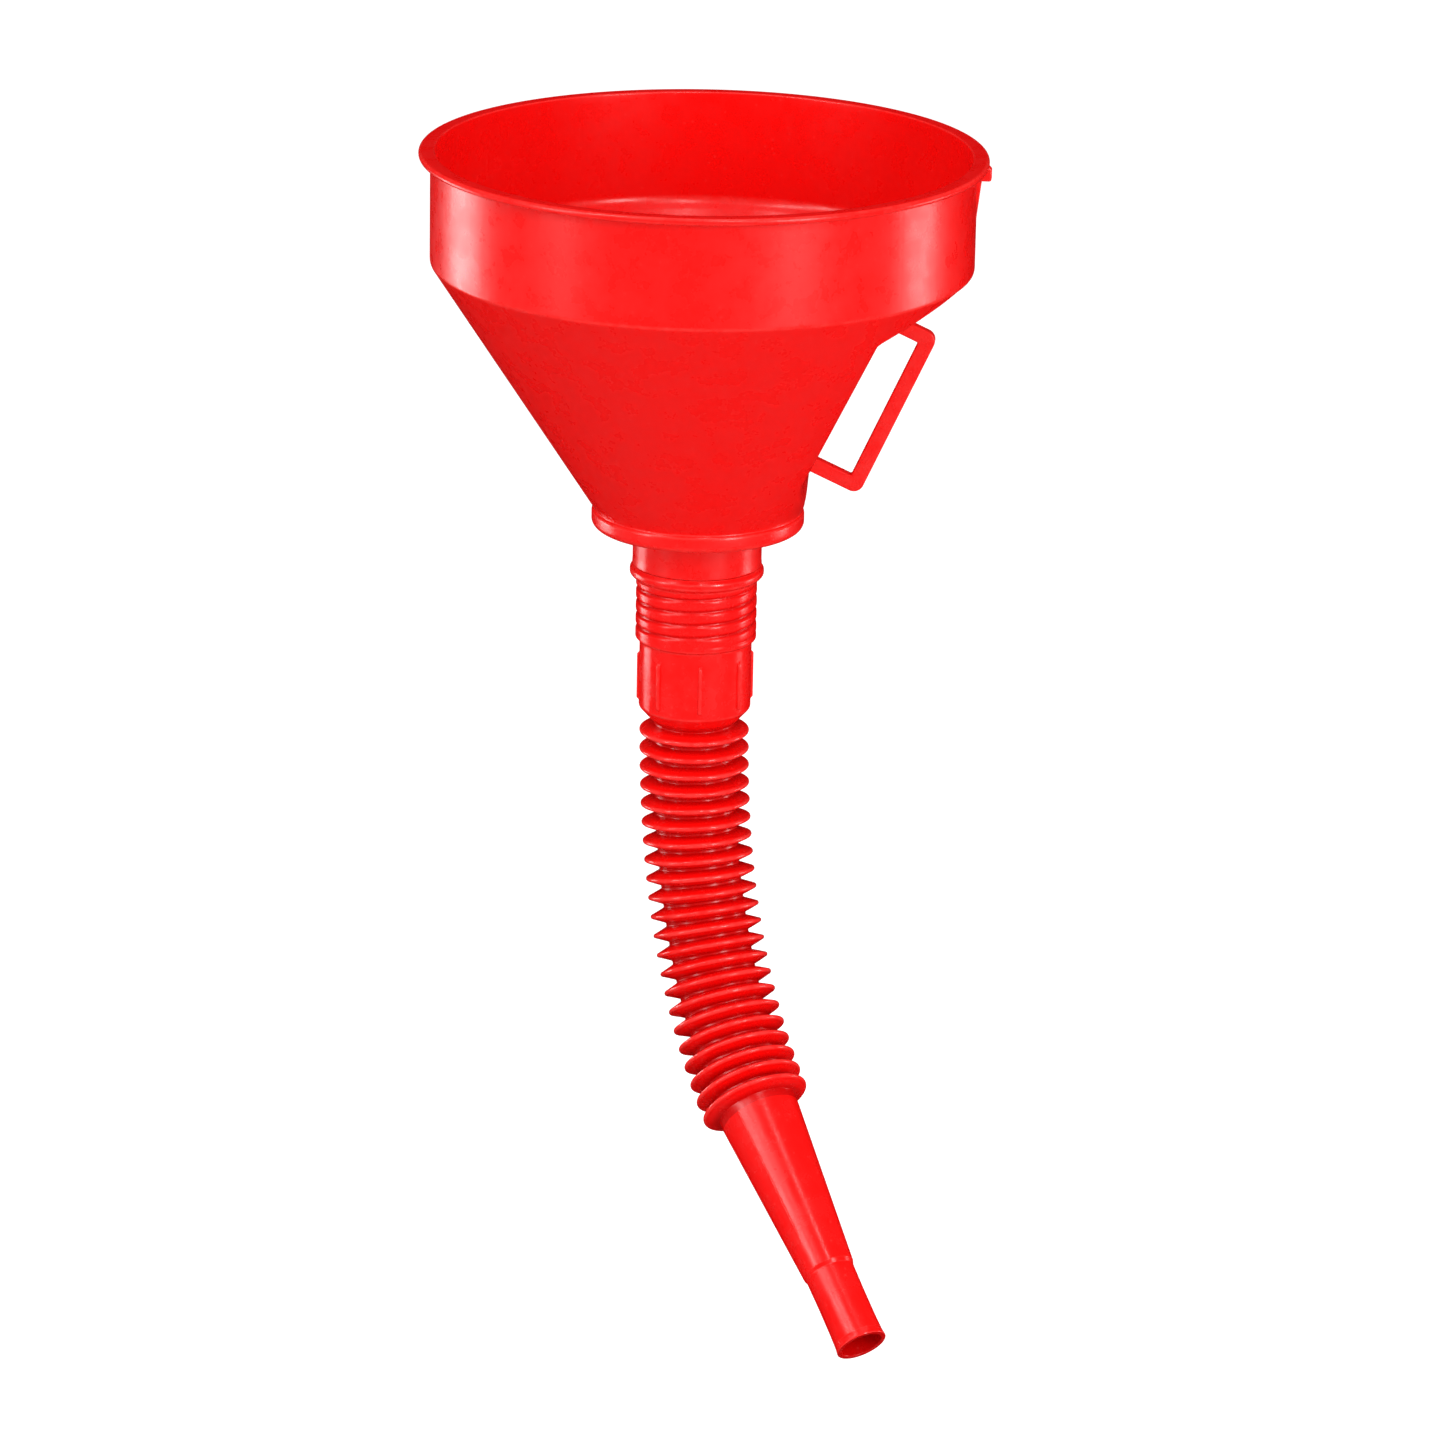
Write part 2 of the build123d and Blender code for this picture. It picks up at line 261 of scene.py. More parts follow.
def slab(draft: Draft, corners: Sequence[tuple[float, ...]], half: float, bevel: float, axle: Axle) -> Draft:
    """Adds a convex outline given a thickness, with rounded rims.

    Layers cross the thickness. Near each face the outline draws in by bevel·(1 - cos t) while the
    layer nears the face by bevel·sin t, a quarter circle.

    Args:
        draft: Where the shell goes.
        corners: Outline as x, y and a radius, in the axle's side and front directions.
        half: Half the thickness, along the axle.
        bevel: Radius of the rims.
        axle: The slab's place.

    Returns:
        The draft.
    """
    outline = rounded(corners, steps=5)
    ahead = np.roll(outline, -1, axis=0)[:, :2] - np.roll(outline, 1, axis=0)[:, :2]
    ahead /= np.maximum(np.linalg.norm(ahead, axis=1, keepdims=True), 1e-9)
    outward = np.stack([ahead[:, 1], -ahead[:, 0]], axis=1)
    centre = outline[:, :2].mean(axis=0)
    if np.sum(outward * (outline[:, :2] - centre)) < 0:
        outward = -outward
    turn = np.linspace(0, math.pi / 2, 5)
    near = half - bevel + bevel * np.sin(turn)
    inset = bevel * (1 - np.cos(turn))
    layers, insets = np.concatenate([-near[::-1], near]), np.concatenate([inset[::-1], inset])
    flat = outline[None, :, :2] - outward[None] * insets[:, None, None]
    grid = axle.point + axle.side * flat[..., :1] + axle.front * flat[..., 1:]
    grid = grid + axle.along * layers[:, None, None]
    # Bevels are marked for the pale colour of painted highlight and handling wear.
    wear_highlight = np.repeat((insets > 0)[:, None] * 1.0, len(outline), axis=1)
    return draft.add(grid, loop=False, edge=wear_highlight)


def tube(draft: Draft, path: Array, radius: float, sides: int, spin: Array) -> Draft:
    """Adds a thin round wire: at each point of the path, radius·(Z·cos a + spin·sin a)."""
    angle = np.linspace(0, 2 * math.pi, sides, endpoint=False)
    ring = radius * (np.array([0, 0, 1.0]) * np.cos(angle)[:, None] + spin * np.sin(angle)[:, None])
    return draft.add(path[:, None, :] + ring[None], loop=False)


# ---- finishes ----
class Slot(Enum):
    """The record's material slots."""

    BOWL = "bowl_plastic"
    SPOUT = "spout_plastic"
    STRAINER = "strainer_plastic"
    GAUZE = "gauze_brass"
    WASHER = "washer_rubber"


class Wiring:
    """Adds nodes to a tree and joins their sockets."""

    def __init__(self, tree: bpy.types.NodeTree) -> None:
        """Keeps the tree."""
        self.tree = tree

    def add(self, kind: str, settings: dict | None = None, **inputs: object) -> bpy.types.Node:
        """Adds a node, sets its properties and sets or joins its inputs.

        Args:
            kind: Blender's name of the node.
            settings: Properties of the node.
            inputs: Input names, with _ for a space, and values or sockets to join.

        Returns:
            The node.
        """
        made = self.tree.nodes.new(kind)
        for key, value in (settings or {}).items():
            setattr(made, key, value)
        for key, value in inputs.items():
            where = int(key[1:]) if key[1:].isdigit() and key[0] == "i" else key.replace("_", " ")
            if isinstance(value, bpy.types.NodeSocket):
                self.tree.links.new(value, made.inputs[where])
            else:
                made.inputs[where].default_value = value
        return made

    def noise(self, where: object, scale: object, detail: float, roughness: float) -> bpy.types.Node:
        """A noise texture."""
        return self.add("ShaderNodeTexNoise", Vector=where, Scale=scale, Detail=detail, Roughness=roughness)

    def grouped(self, tree: bpy.types.NodeTree, **inputs: object) -> bpy.types.Node:
        """A shared node group."""
        return self.add("ShaderNodeGroup", {"node_tree": tree}, **inputs)

    def sum(self, operation: str, *values: object) -> bpy.types.NodeSocket:
        """A Math node's result."""
        named = {f"i{i}": v for i, v in enumerate(values)}
        return self.add("ShaderNodeMath", {"operation": operation}, **named).outputs[0]

    def span(
        self, value: object, low: float, high: float, to_low: float = 0.0, to_high: float = 1.0,
    ) -> bpy.types.NodeSocket:
        """The value carried smoothly from one range to another, and held at its ends."""
        settings = {"interpolation_type": "SMOOTHSTEP"}
        made = self.add("ShaderNodeMapRange", settings, i0=value, i1=low, i2=high, i3=to_low, i4=to_high)
        return made.outputs[0]

    def mix(self, share: object, first: object, second: object) -> bpy.types.NodeSocket:
        """A colour between two."""
        made = self.add("ShaderNodeMix", {"data_type": "RGBA"}, i0=share, i6=first, i7=second)
        return made.outputs[2]


def group(name: str, inputs: dict[str, object], outputs: Sequence[str]) -> tuple[Wiring, dict, dict]:
    """Starts a shader node group.

    Args:
        name: The group's name.
        inputs: Input names and defaults. A default of None makes a vector input.
        outputs: Names of its value outputs.

    Returns:
        Its wiring, its inner input sockets by name and its inner output sockets by name.
    """
    tree = bpy.data.node_groups.new(name, "ShaderNodeTree")
    for key, value in inputs.items():
        kind = "NodeSocketVector" if value is None else "NodeSocketFloat"
        made = tree.interface.new_socket(key, in_out="INPUT", socket_type=kind)
        if value is not None:
            made.default_value = value
    for key in outputs:
        tree.interface.new_socket(key, in_out="OUTPUT", socket_type="NodeSocketFloat")
    start, end = tree.nodes.new("NodeGroupInput"), tree.nodes.new("NodeGroupOutput")
    return Wiring(tree), {s.name: s for s in start.outputs}, {s.name: s for s in end.inputs}


class Effects:
    """The shader node groups that the finishes share."""

    def __init__(self) -> None:
        """Builds each group once."""
        self.grain = self.make_grain()
        self.flow = self.make_flow()
        self.specks = self.make_specks()
        self.rubbed = self.make_rub_highlight()

    def make_grain(self) -> bpy.types.NodeTree:
        """Satin grain of a mould: fine noise for height, and slow noise for sink and tone."""
        inputs = {"Position": None, "Fine": 5200.0, "Slow": 55.0}
        wire, given, out = group("satin_grain", inputs, ["Height", "Sink", "Tone"])
        where = given["Position"]
        fine = wire.noise(where, given["Fine"], 3.0, 0.6)
        slow = wire.noise(where, given["Slow"], 2.0, 0.45)
        twice = wire.sum("MULTIPLY", given["Slow"], 2.7)
        tone = wire.noise(where, twice, 4.0, 0.6)
        wire.tree.links.new(fine.outputs["Fac"], out["Height"])
        wire.tree.links.new(slow.outputs["Fac"], out["Sink"])
        wire.tree.links.new(tone.outputs["Fac"], out["Tone"])
        return wire.tree

    def make_flow(self) -> bpy.types.NodeTree:
        """Upright draw lines: noise squeezed round the piece and stretched along Z."""
        wire, given, out = group("draw_lines", {"Position": None, "Across": 900.0, "Along": 14.0}, ["Lines"])
        scale = wire.add("ShaderNodeCombineXYZ", X=given["Across"], Y=given["Across"], Z=given["Along"])
        multiply = {"operation": "MULTIPLY"}
        placed = wire.add("ShaderNodeVectorMath", multiply, i0=given["Position"], i1=scale.outputs[0])
        lines = wire.noise(placed.outputs[0], 1.0, 3.0, 0.65)
        wire.tree.links.new(lines.outputs["Fac"], out["Lines"])
        return wire.tree

    def make_specks(self) -> bpy.types.NodeTree:
        """Dust and moulding flecks: round cells, of which a noise keeps a few."""
        inputs = {"Position": None, "Cells": 420.0, "Size": 0.16, "Kept": 0.6}
        wire, given, out = group("specks", inputs, ["Specks"])
        cells = wire.add("ShaderNodeTexVoronoi", Vector=given["Position"], Scale=given["Cells"])
        spot = wire.sum("LESS_THAN", cells.outputs["Distance"], given["Size"])
        chance = wire.add("ShaderNodeSeparateColor", Color=cells.outputs["Color"])
        kept = wire.sum("GREATER_THAN", chance.outputs[0], given["Kept"])
        wire.tree.links.new(wire.sum("MULTIPLY", spot, kept), out["Specks"])
        return wire.tree

    def make_rub_highlight(self) -> bpy.types.NodeTree:
        """Edges lightened as painted highlight and handling wear: the edge mask, broken up by noise."""
        inputs = {"Position": None, "Edge": 0.0, "Patches": 260.0}
        wire, given, out = group("rubbed_edges", inputs, ["Rubbed"])
        noise = wire.noise(given["Position"], given["Patches"], 3.0, 0.6)
        patches = wire.span(noise.outputs["Fac"], 0.35, 0.62, 0.35, 1.0)
        wire.tree.links.new(wire.sum("MULTIPLY", given["Edge"], patches), out["Rubbed"])
        return wire.tree


def mask(wire: Wiring, name: str) -> bpy.types.NodeSocket:
    """The value of a named mask on the surface."""
    return wire.add("ShaderNodeAttribute", {"attribute_name": name}).outputs["Fac"]


@dataclass(frozen=True)
class Plastic:
    """Satin moulded polyethylene, with its own depth of grain, draw lines, flecks, pale edges of painted highlight
    and handling wear, and painted shade in its hollows.
    """

    name: str
    slot: Slot
    colour: tuple[float, float, float]
    # colour of the painted shade in valleys, grooves, bores and the bowl's lower inside
    shade_paint: tuple[float, float, float]
    # colour of the painted highlight and handling wear on edges, crests, ribs and mould lines, and of the flecks
    pale: tuple[float, float, float]
    roughness: float
    grain: float = 0.006      # height of the grain, in millimetres
    sink: float = 0.25        # height of the slow waves
    lines: float = 0.0        # height of the draw lines
    flecks: float = 0.12      # share of a fleck's colour
    gloss: float = 0.36       # specular level

    def make(self, effects: Effects) -> bpy.types.Material:
        """Builds the material from the shared groups."""
        made = bpy.data.materials.new(self.name)
        made.use_nodes = True
        wire = Wiring(made.node_tree)
        shader = made.node_tree.nodes["Principled BSDF"]
        where = wire.add("ShaderNodeTexCoord").outputs["Object"]
        grain = wire.grouped(effects.grain, Position=where)
        rubbed = wire.grouped(effects.rubbed, Position=where, Edge=mask(wire, "edge"))
        flecks = wire.grouped(effects.specks, Position=where)
        lines = wire.grouped(effects.flow, Position=where)
        tone = wire.span(grain.outputs["Tone"], 0.3, 0.7)
        # Painted shade: the shade colour is mixed in by the painted-shade mask in valleys, grooves, bores and the
        # bowl's lower inside.
        hollow = mask(wire, "hollow")
        base = wire.mix(tone, (*self.colour, 1), tuple(0.97 * c for c in self.colour) + (1,))
        base = wire.mix(hollow, base, (*self.shade_paint, 1))
        # Painted highlight and handling wear: rounded edges, crests, ribs and mould lines turn pale by the edge
        # mask, and a little less rough.
        base = wire.mix(wire.sum("MULTIPLY", rubbed.outputs[0], 0.3), base, (*self.pale, 1))
        base = wire.mix(wire.sum("MULTIPLY", flecks.outputs[0], self.flecks), base, (*self.pale, 1))
        rough = wire.span(tone, 0, 1, self.roughness - 0.03, self.roughness + 0.04)
        rough = wire.sum("SUBTRACT", rough, wire.sum("MULTIPLY", rubbed.outputs[0], 0.08))
        fine = wire.sum("MULTIPLY", grain.outputs["Height"], self.grain * MM)
        slow = wire.sum("MULTIPLY", grain.outputs["Sink"], self.sink * MM)
        drawn = wire.sum("MULTIPLY", lines.outputs[0], self.lines * MM)
        height = wire.sum("ADD", wire.sum("ADD", fine, slow), drawn)
        bump = wire.add("ShaderNodeBump", Height=height, Strength=1.0, Distance=1.0)
        for socket, value in (("Base Color", base), ("Roughness", rough), ("Normal", bump.outputs[0])):
            made.node_tree.links.new(value, shader.inputs[socket])
        shader.inputs["Specular IOR Level"].default_value = self.gloss
        shader.inputs["IOR"].default_value = 1.5
        return made


@dataclass(frozen=True)
class Brass:
    """Drawn brass wire, dulled in patches."""

    name: str = "woven_brass"
    slot: Slot = Slot.GAUZE
    colour: tuple[float, float, float] = (0.80, 0.60, 0.28)
    dull: tuple[float, float, float] = (0.42, 0.30, 0.14)

    def make(self, effects: Effects) -> bpy.types.Material:
        """Builds the material."""
        made = bpy.data.materials.new(self.name)
        made.use_nodes = True
        wire = Wiring(made.node_tree)
        shader = made.node_tree.nodes["Principled BSDF"]
        where = wire.add("ShaderNodeTexCoord").outputs["Object"]
        grain = wire.grouped(effects.grain, Position=where, Fine=9000.0, Slow=120.0)
        dulled = wire.span(grain.outputs["Tone"], 0.42, 0.66)
        base = wire.mix(dulled, (*self.colour, 1), (*self.dull, 1))
        rough = wire.span(dulled, 0, 1, 0.22, 0.5)
        height = wire.sum("MULTIPLY", grain.outputs["Height"], 0.004 * MM)
        bump = wire.add("ShaderNodeBump", Height=height, Distance=1.0)
        for socket, value in (("Base Color", base), ("Roughness", rough), ("Normal", bump.outputs[0])):
            made.node_tree.links.new(value, shader.inputs[socket])
        shader.inputs["Metallic"].default_value = 1.0
        return made


@dataclass(frozen=True)
class Rubber:
    """Black sealing rubber with a dusty bloom."""

    name: str = "washer_rubber_black"
    slot: Slot = Slot.WASHER
    colour: tuple[float, float, float] = (0.028, 0.027, 0.026)
    bloom: tuple[float, float, float] = (0.085, 0.08, 0.075)

    def make(self, effects: Effects) -> bpy.types.Material:
        """Builds the material."""
        made = bpy.data.materials.new(self.name)
        made.use_nodes = True
        wire = Wiring(made.node_tree)
        shader = made.node_tree.nodes["Principled BSDF"]
        where = wire.add("ShaderNodeTexCoord").outputs["Object"]
        grain = wire.grouped(effects.grain, Position=where, Fine=3800.0, Slow=300.0)
        bloom = wire.span(grain.outputs["Tone"], 0.45, 0.75)
        base = wire.mix(bloom, (*self.colour, 1), (*self.bloom, 1))
        rough = wire.span(bloom, 0, 1, 0.55, 0.8)
        height = wire.sum("MULTIPLY", grain.outputs["Height"], 0.03 * MM)
        bump = wire.add("ShaderNodeBump", Height=height, Distance=1.0)
        for socket, value in (("Base Color", base), ("Roughness", rough), ("Normal", bump.outputs[0])):
            made.node_tree.links.new(value, shader.inputs[socket])
        return made


BOWL_RED = Plastic(
    "bowl_red", Slot.BOWL, colour=(0.90, 0.0030, 0.0025), shade_paint=(0.80, 0.0015, 0.0015),
    pale=(0.95, 0.08, 0.07), roughness=0.29, sink=0.025, lines=0.035,
)
SPOUT_RED = Plastic(
    "spout_red", Slot.SPOUT, colour=(0.90, 0.0030, 0.0025), shade_paint=(0.60, 0.001, 0.001),
    pale=(0.97, 0.11, 0.10), roughness=0.25, sink=0.01,
)
STRAINER_RED = Plastic(
    "strainer_red", Slot.STRAINER, colour=(0.80, 0.012, 0.010), shade_paint=(0.50, 0.004, 0.004),
    pale=(0.92, 0.10, 0.09), roughness=0.36, sink=0.03,
)


Finish = Plastic | Brass | Rubber


def dress(piece: bpy.types.Object, made: bpy.types.Material) -> bpy.types.Object:
    """Gives a piece its material."""
    piece.data.materials.append(made)
    return piece


# ---- bowl, handle and strainer ----
@dataclass
class Bowl:
    """The moulded bowl: mouth, upright wall, cone with its finger recess, collar, neck and spigot."""

    mouth_r: float = 80.0
    wall_r: float = 76.7
    wall: float = 1.25
    wall_h: float = 31.7
    cone_half_angle: float = 33.25
    collar_r: float = 30.35
    collar_h: float = 5.3
    seat_r: float = 28.0
    neck_r: float = 18.45
    neck_h: float = 11.35
    spigot_r: float = 16.0
    throat_r: float = 14.3
    throat_top_r: float = 17.0
    shelf_out_x: float = 74.3
    knee: tuple[float, float] = (52.7, -42.3)
    heel: tuple[float, float] = (30.6, -91.1)
    pitch: float = 3.8
    thread_deep: float = 0.7

    @property
    def slope(self) -> float:
        """How much the cone's radius changes for each unit of height."""
        return math.tan(math.radians(self.cone_half_angle))

    @property
    def foot_r(self) -> float:
        """The cone's radius where it meets the collar."""
        return self.collar_r - 0.75

    @property
    def foot_z(self) -> float:
        """The height of that meeting."""
        return -self.wall_h - (self.wall_r - self.foot_r) / self.slope

    def cut_x(self, z: Array, inside: bool) -> Array:
        """Where the recess's flat faces stand, as x at each height.

        It is the largest of three straight lines, the shelf, the long face and the upright foot,
        rising steeply above the shelf and below the foot, where there is no recess.

        Args:
            z: Heights.
            inside: Whether the lines stand one wall in, as they do inside the bowl.

        Returns:
            x at each height.
        """
        run_shelf = (self.shelf_out_x - self.knee[0]) / (-self.wall_h - self.knee[1])
        run_face = (self.knee[0] - self.heel[0]) / (self.knee[1] - self.heel[1])
        step = self.wall if inside else 0.0
        shelf = self.shelf_out_x + (z + self.wall_h) * run_shelf - step * math.hypot(1, run_shelf)
        face = self.knee[0] + (z - self.knee[1]) * run_face - step * math.hypot(1, run_face)
        foot = np.full_like(z, self.heel[0] - step)
        x = -soft_min(-shelf, soft_min(-face, -foot, 1.0), 1.0)
        top = -self.wall_h + step
        low = self.foot_z + 1.3
        return x + 7 * np.clip((z - top + 0.3) / 0.6, 0, 9) + 10 * np.clip((low - z) / 0.8, 0, 9)

    def skin(self, outline: Array, inside: bool) -> tuple[Array, Array]:
        """Radius and angle over part of the bowl's outline, with the recess cut across it.

        The radius is the rounded smaller of the outline's own and cut_x / cos a. Columns crowd on
        the recess's edge, whose angle at each height is the arc cosine of cut_x over the radius.

        Args:
            outline: Rows of r, z and edge.
            inside: Whether this is the bowl's inner face.

        Returns:
            Radii and angles, rows by columns.
        """
        r, z = outline[:, :1], outline[:, 1:2]
        x = self.cut_x(z, inside)
        edge = np.clip(np.arccos(np.clip(x / np.maximum(r, 1), -1, 1)), 0.25, 1.2)
        crowd = 0.06
        few = np.linspace(0, 1, 14, endpoint=False)[None]
        near = np.linspace(-1, 1, 18, endpoint=False)[None]
        rest = np.linspace(0, 1, 70, endpoint=False)[None]
        half = np.concatenate([
            few * (edge - crowd),
            edge + near * crowd,
            edge + crowd + rest * (math.pi - edge - crowd),
        ], axis=1)
        angle = np.concatenate([half, np.full_like(edge, math.pi), -half[:, :0:-1]], axis=1)
        flat = x / np.maximum(np.cos(angle), 0.05)
        return soft_min(r + 0 * angle, flat, 1.1), angle

    def build(self) -> bpy.types.Object:
        """The bowl as one closed shell: its outline goes round its wall, and each part has its own step."""
        z_collar = self.foot_z - self.collar_h
        z_neck = z_collar - self.neck_h
        z_end = low_z("funnel_bowl")
        z_seat = z_collar + 1.5
        skin = self.wall / math.cos(math.radians(self.cone_half_angle))
        in_r = self.wall_r - self.wall
        in_z = -self.wall_h - (in_r - self.wall_r + skin) / self.slope
        in_foot = -self.wall_h - (self.wall_r - skin - self.seat_r) / self.slope

        def cone(z: float, inside: bool = False) -> tuple[float, float]:
            """A point of the cone, as r and z."""
            return self.wall_r + (z + self.wall_h) * self.slope - (skin if inside else 0), z

        near_knee = [self.knee[1] + d for d in (2.5, -2.5)]
        near_heel = [self.heel[1] + d for d in (2.5, -2.5)]
        above = rounded([
            (in_r, -12.0), (in_r, 0, 0.45), (self.mouth_r, 0, 0.95), (self.mouth_r, -2.0, 0.95),
            (self.wall_r, -2.0, 0.7), (self.wall_r, -self.wall_h + 2.5),
        ], closed=False, steps=8)
        turn = rounded([
            (self.wall_r, -self.wall_h + 2.4), (self.wall_r, -self.wall_h, 2.5), cone(-34.5),
        ], closed=False, steps=20)
        stations = [-34.6, *near_knee, *near_heel, self.foot_z + 3]
        side = rounded([cone(z) for z in stations], closed=False)
        low = rounded([
            cone(self.foot_z + 2.9), (self.foot_r, self.foot_z, 0.45),
            (self.collar_r, self.foot_z - 0.75, 1.8), (self.collar_r, z_collar, 2.0),
            (self.neck_r, z_collar, 0.5), (self.neck_r, z_neck + 1.6), (self.neck_r + 0.12, z_neck, 0.5),
            (self.spigot_r, z_neck, 0.3), (self.spigot_r, z_neck - 1.0),
        ], closed=False, steps=8)
        screw = spaced(np.array([[self.spigot_r, z_neck - 1.2, 0], [self.spigot_r, z_end + 0.9, 0]]), 0.25)
        inner = rounded([
            (self.spigot_r, z_end + 0.7), (self.spigot_r, z_end, 0.4), (self.throat_r, z_end, 0.35),
            (self.throat_r, z_neck, 1.0), (self.throat_top_r, z_seat - 1.5, 0.4),
            (self.throat_top_r, z_seat, 0.35), (self.seat_r, z_seat, 0.35), (self.seat_r, in_foot, 0.5),
            cone(in_foot + 3, True),
        ], closed=False)
        back = rounded([
            cone(in_foot + 3.1, True), cone(near_heel[1], True), cone(near_heel[0], True),
            cone(near_knee[1], True), cone(near_knee[0], True), cone(-34.5, True),
        ], closed=False)
        top = rounded([cone(-34.4, True), (in_r, in_z, 6.27), (in_r, -27.0)], closed=False, steps=14)
        parts = [
            (spaced(above, 2.2), False), (spaced(turn, 0.5), False), (spaced(side, 1.3), False),
            (spaced(low, 1.6), False), (screw, False), (spaced(inner, 1.8), True),
            (spaced(back, 1.4), True), (spaced(top, 0.6), True), (np.array([[in_r, -20.0, 0]]), True),
        ]
        draft = Draft("moulded_bowl")
        radii, angles, rows = [], [], []
        for part, inside in parts:
            radius, angle = self.skin(part, inside)
            if part is screw:
                radius = radius - self.thread(part[:, 1:2], angle, z_neck, z_end)
            radii.append(radius)
            angles.append(angle)
            rows.append(part)
        outline = np.concatenate(rows)
        angle = np.concatenate(angles)
        grid = UPRIGHT.place(np.concatenate(radii), angle, outline[:, 1:2])
        # Painted highlight and handling wear on the outline's rounded arcs.
        wear_highlight = np.repeat(outline[:, 2:], angle.shape[1], axis=1)
        # Painted shade on the inner face, stronger towards the neck.
        inner_rows = np.arange(len(outline)) > len(outline) * 0.55
        shade_paint = smoothstep((-20 - outline[:, 1:2]) / 90) * inner_rows[:, None]
        draft.add(grid, edge=wear_highlight, hollow=shade_paint * 0.7 + 0 * angle)
        return draft.piece()

    def thread(self, z: Array, angle: Array, top: float, end: float) -> Array:
        """How far the spigot's surface lies below its crests: a right-hand groove.

        The phase is z / pitch - a / 2π. The groove is a raised cosine of it, flattened at the
        crests, and it dies out over 1.5 mm at each end.

        Args:
            z: Heights of the rows.
            angle: Angles, rows by columns.
            top: The neck's lower end.
            end: The spigot's end.

        Returns:
            Depths, rows by columns.
        """
        wave = 0.5 + 0.5 * np.cos(2 * math.pi * (z / self.pitch - angle / (2 * math.pi)))
        fade = smoothstep((top - 1.4 - z) / 1.5) * smoothstep((z - end - 1.0) / 1.5)
        return self.thread_deep * smoothstep(wave * 1.6 - 0.3) * fade

    def lug(self) -> bpy.types.Object:
        """The lug under the rim and its tapering gusset, on the handle's side."""
        root = self.wall_r - self.wall / 2
        axle = Axle(np.zeros(3), np.array([1.0, 0, 0]), np.array([0, 0, 1.0]), np.array([0, -1.0, 0]))
        draft = Draft("rim_lug")
        slab(draft, [
            (root, -1.0), (self.mouth_r - 0.2, -1.0), (self.mouth_r + 0.7, -2.0, 0.35),
            (self.mouth_r + 0.7, -5.4, 0.7), (root, -5.4, 0.1),
        ], 1.6, 0.45, axle)
        slab(draft, [
            (root, -4.6), (self.wall_r + 1.3, -4.6), (self.wall_r + 1.3, -5.4, 0.2),
            (self.wall_r - self.wall / 4, -19.4), (root, -19.4),
        ], 0.7, 0.28, axle)
        return draft.piece()


@dataclass
class Handle:
    """The finger handle: an open loop whose arms end on the recess's long face."""

    knee: tuple[float, float]
    heel: tuple[float, float]
    gap: float = 12.2
    bar_w: float = 4.4
    arm_w: float = 4.2
    thick: float = 3.6
    top: float = 1.5
    bottom: float = 0.2
    corner: float = 3.0
    bevel: float = 0.42

    def build(self) -> bpy.types.Object:
        """A rounded bar section carried along the loop.

        Inner and outer routes have the same number of stations. The section at each station is a
        rectangle with quarter-round corners between them: mid + across·a + Y·c.

        Returns:
            The piece.
        """
        run = np.array([self.heel[0] - self.knee[0], self.heel[1] - self.knee[1]])
        length = float(np.linalg.norm(run))
        down = run / length
        out = np.array([-down[1], down[0]])
        low = length - self.bottom
        reach = self.gap + self.bar_w
        sunk = -0.35
        corners = [(self.top, sunk), (self.top, reach, self.corner), (low, reach, self.corner), (low, sunk)]
        outer = rounded(corners, False, 10)
        inner = rounded([
            (self.top + self.arm_w, sunk), (self.top + self.arm_w, self.gap, 0.5),
            (low - self.arm_w, self.gap, 0.5), (low - self.arm_w, sunk),
        ], False, 10)
        outer, inner = self.fill(outer), self.fill(inner)
        turn = np.linspace(0, math.pi / 2, 5)
        arc_a, arc_c = 1 - np.cos(turn), 1 - np.sin(turn)
        middle = (outer + inner) / 2
        across = outer - inner
        width = np.linalg.norm(across, axis=1, keepdims=True)
        across = across / width
        half_y = self.thick / 2
        spans = []
        for sign_a, sign_y, order in ((1, 1, 1), (-1, 1, -1), (-1, -1, 1), (1, -1, -1)):
            a = sign_a * (width / 2 - self.bevel * arc_a[None])
            y = sign_y * (half_y - self.bevel * arc_c[None]) + 0 * a
            spans.append(np.stack([a, y], axis=-1)[:, ::order])
        section = np.concatenate(spans, axis=1)
        flat = middle[:, None, :] + across[:, None, :] * section[..., :1]
        start = np.array(self.knee)
        place = start + down * flat[..., :1] + out * flat[..., 1:]
        grid = np.stack([place[..., 0], section[..., 1], place[..., 1]], axis=-1)
        # The whole loop is marked at 0.8 for the pale colour of painted highlight and handling wear.
        wear_highlight = np.ones(grid.shape[:2]) * 0.8
        return Draft("finger_loop").add(grid, loop=False, edge=wear_highlight).piece()

    @staticmethod
    def fill(route: Array) -> Array:
        """Adds the same stations to each straight span of a route, which has two corners."""
        arm_in = np.linspace(route[0], route[1], 7)[:-1]
        bar = np.linspace(route[11], route[12], 13)[1:-1]
        arm_out = np.linspace(route[22], route[23], 7)[1:]
        return np.concatenate([arm_in, route[1:12], bar, route[12:23], arm_out])[:, :2]


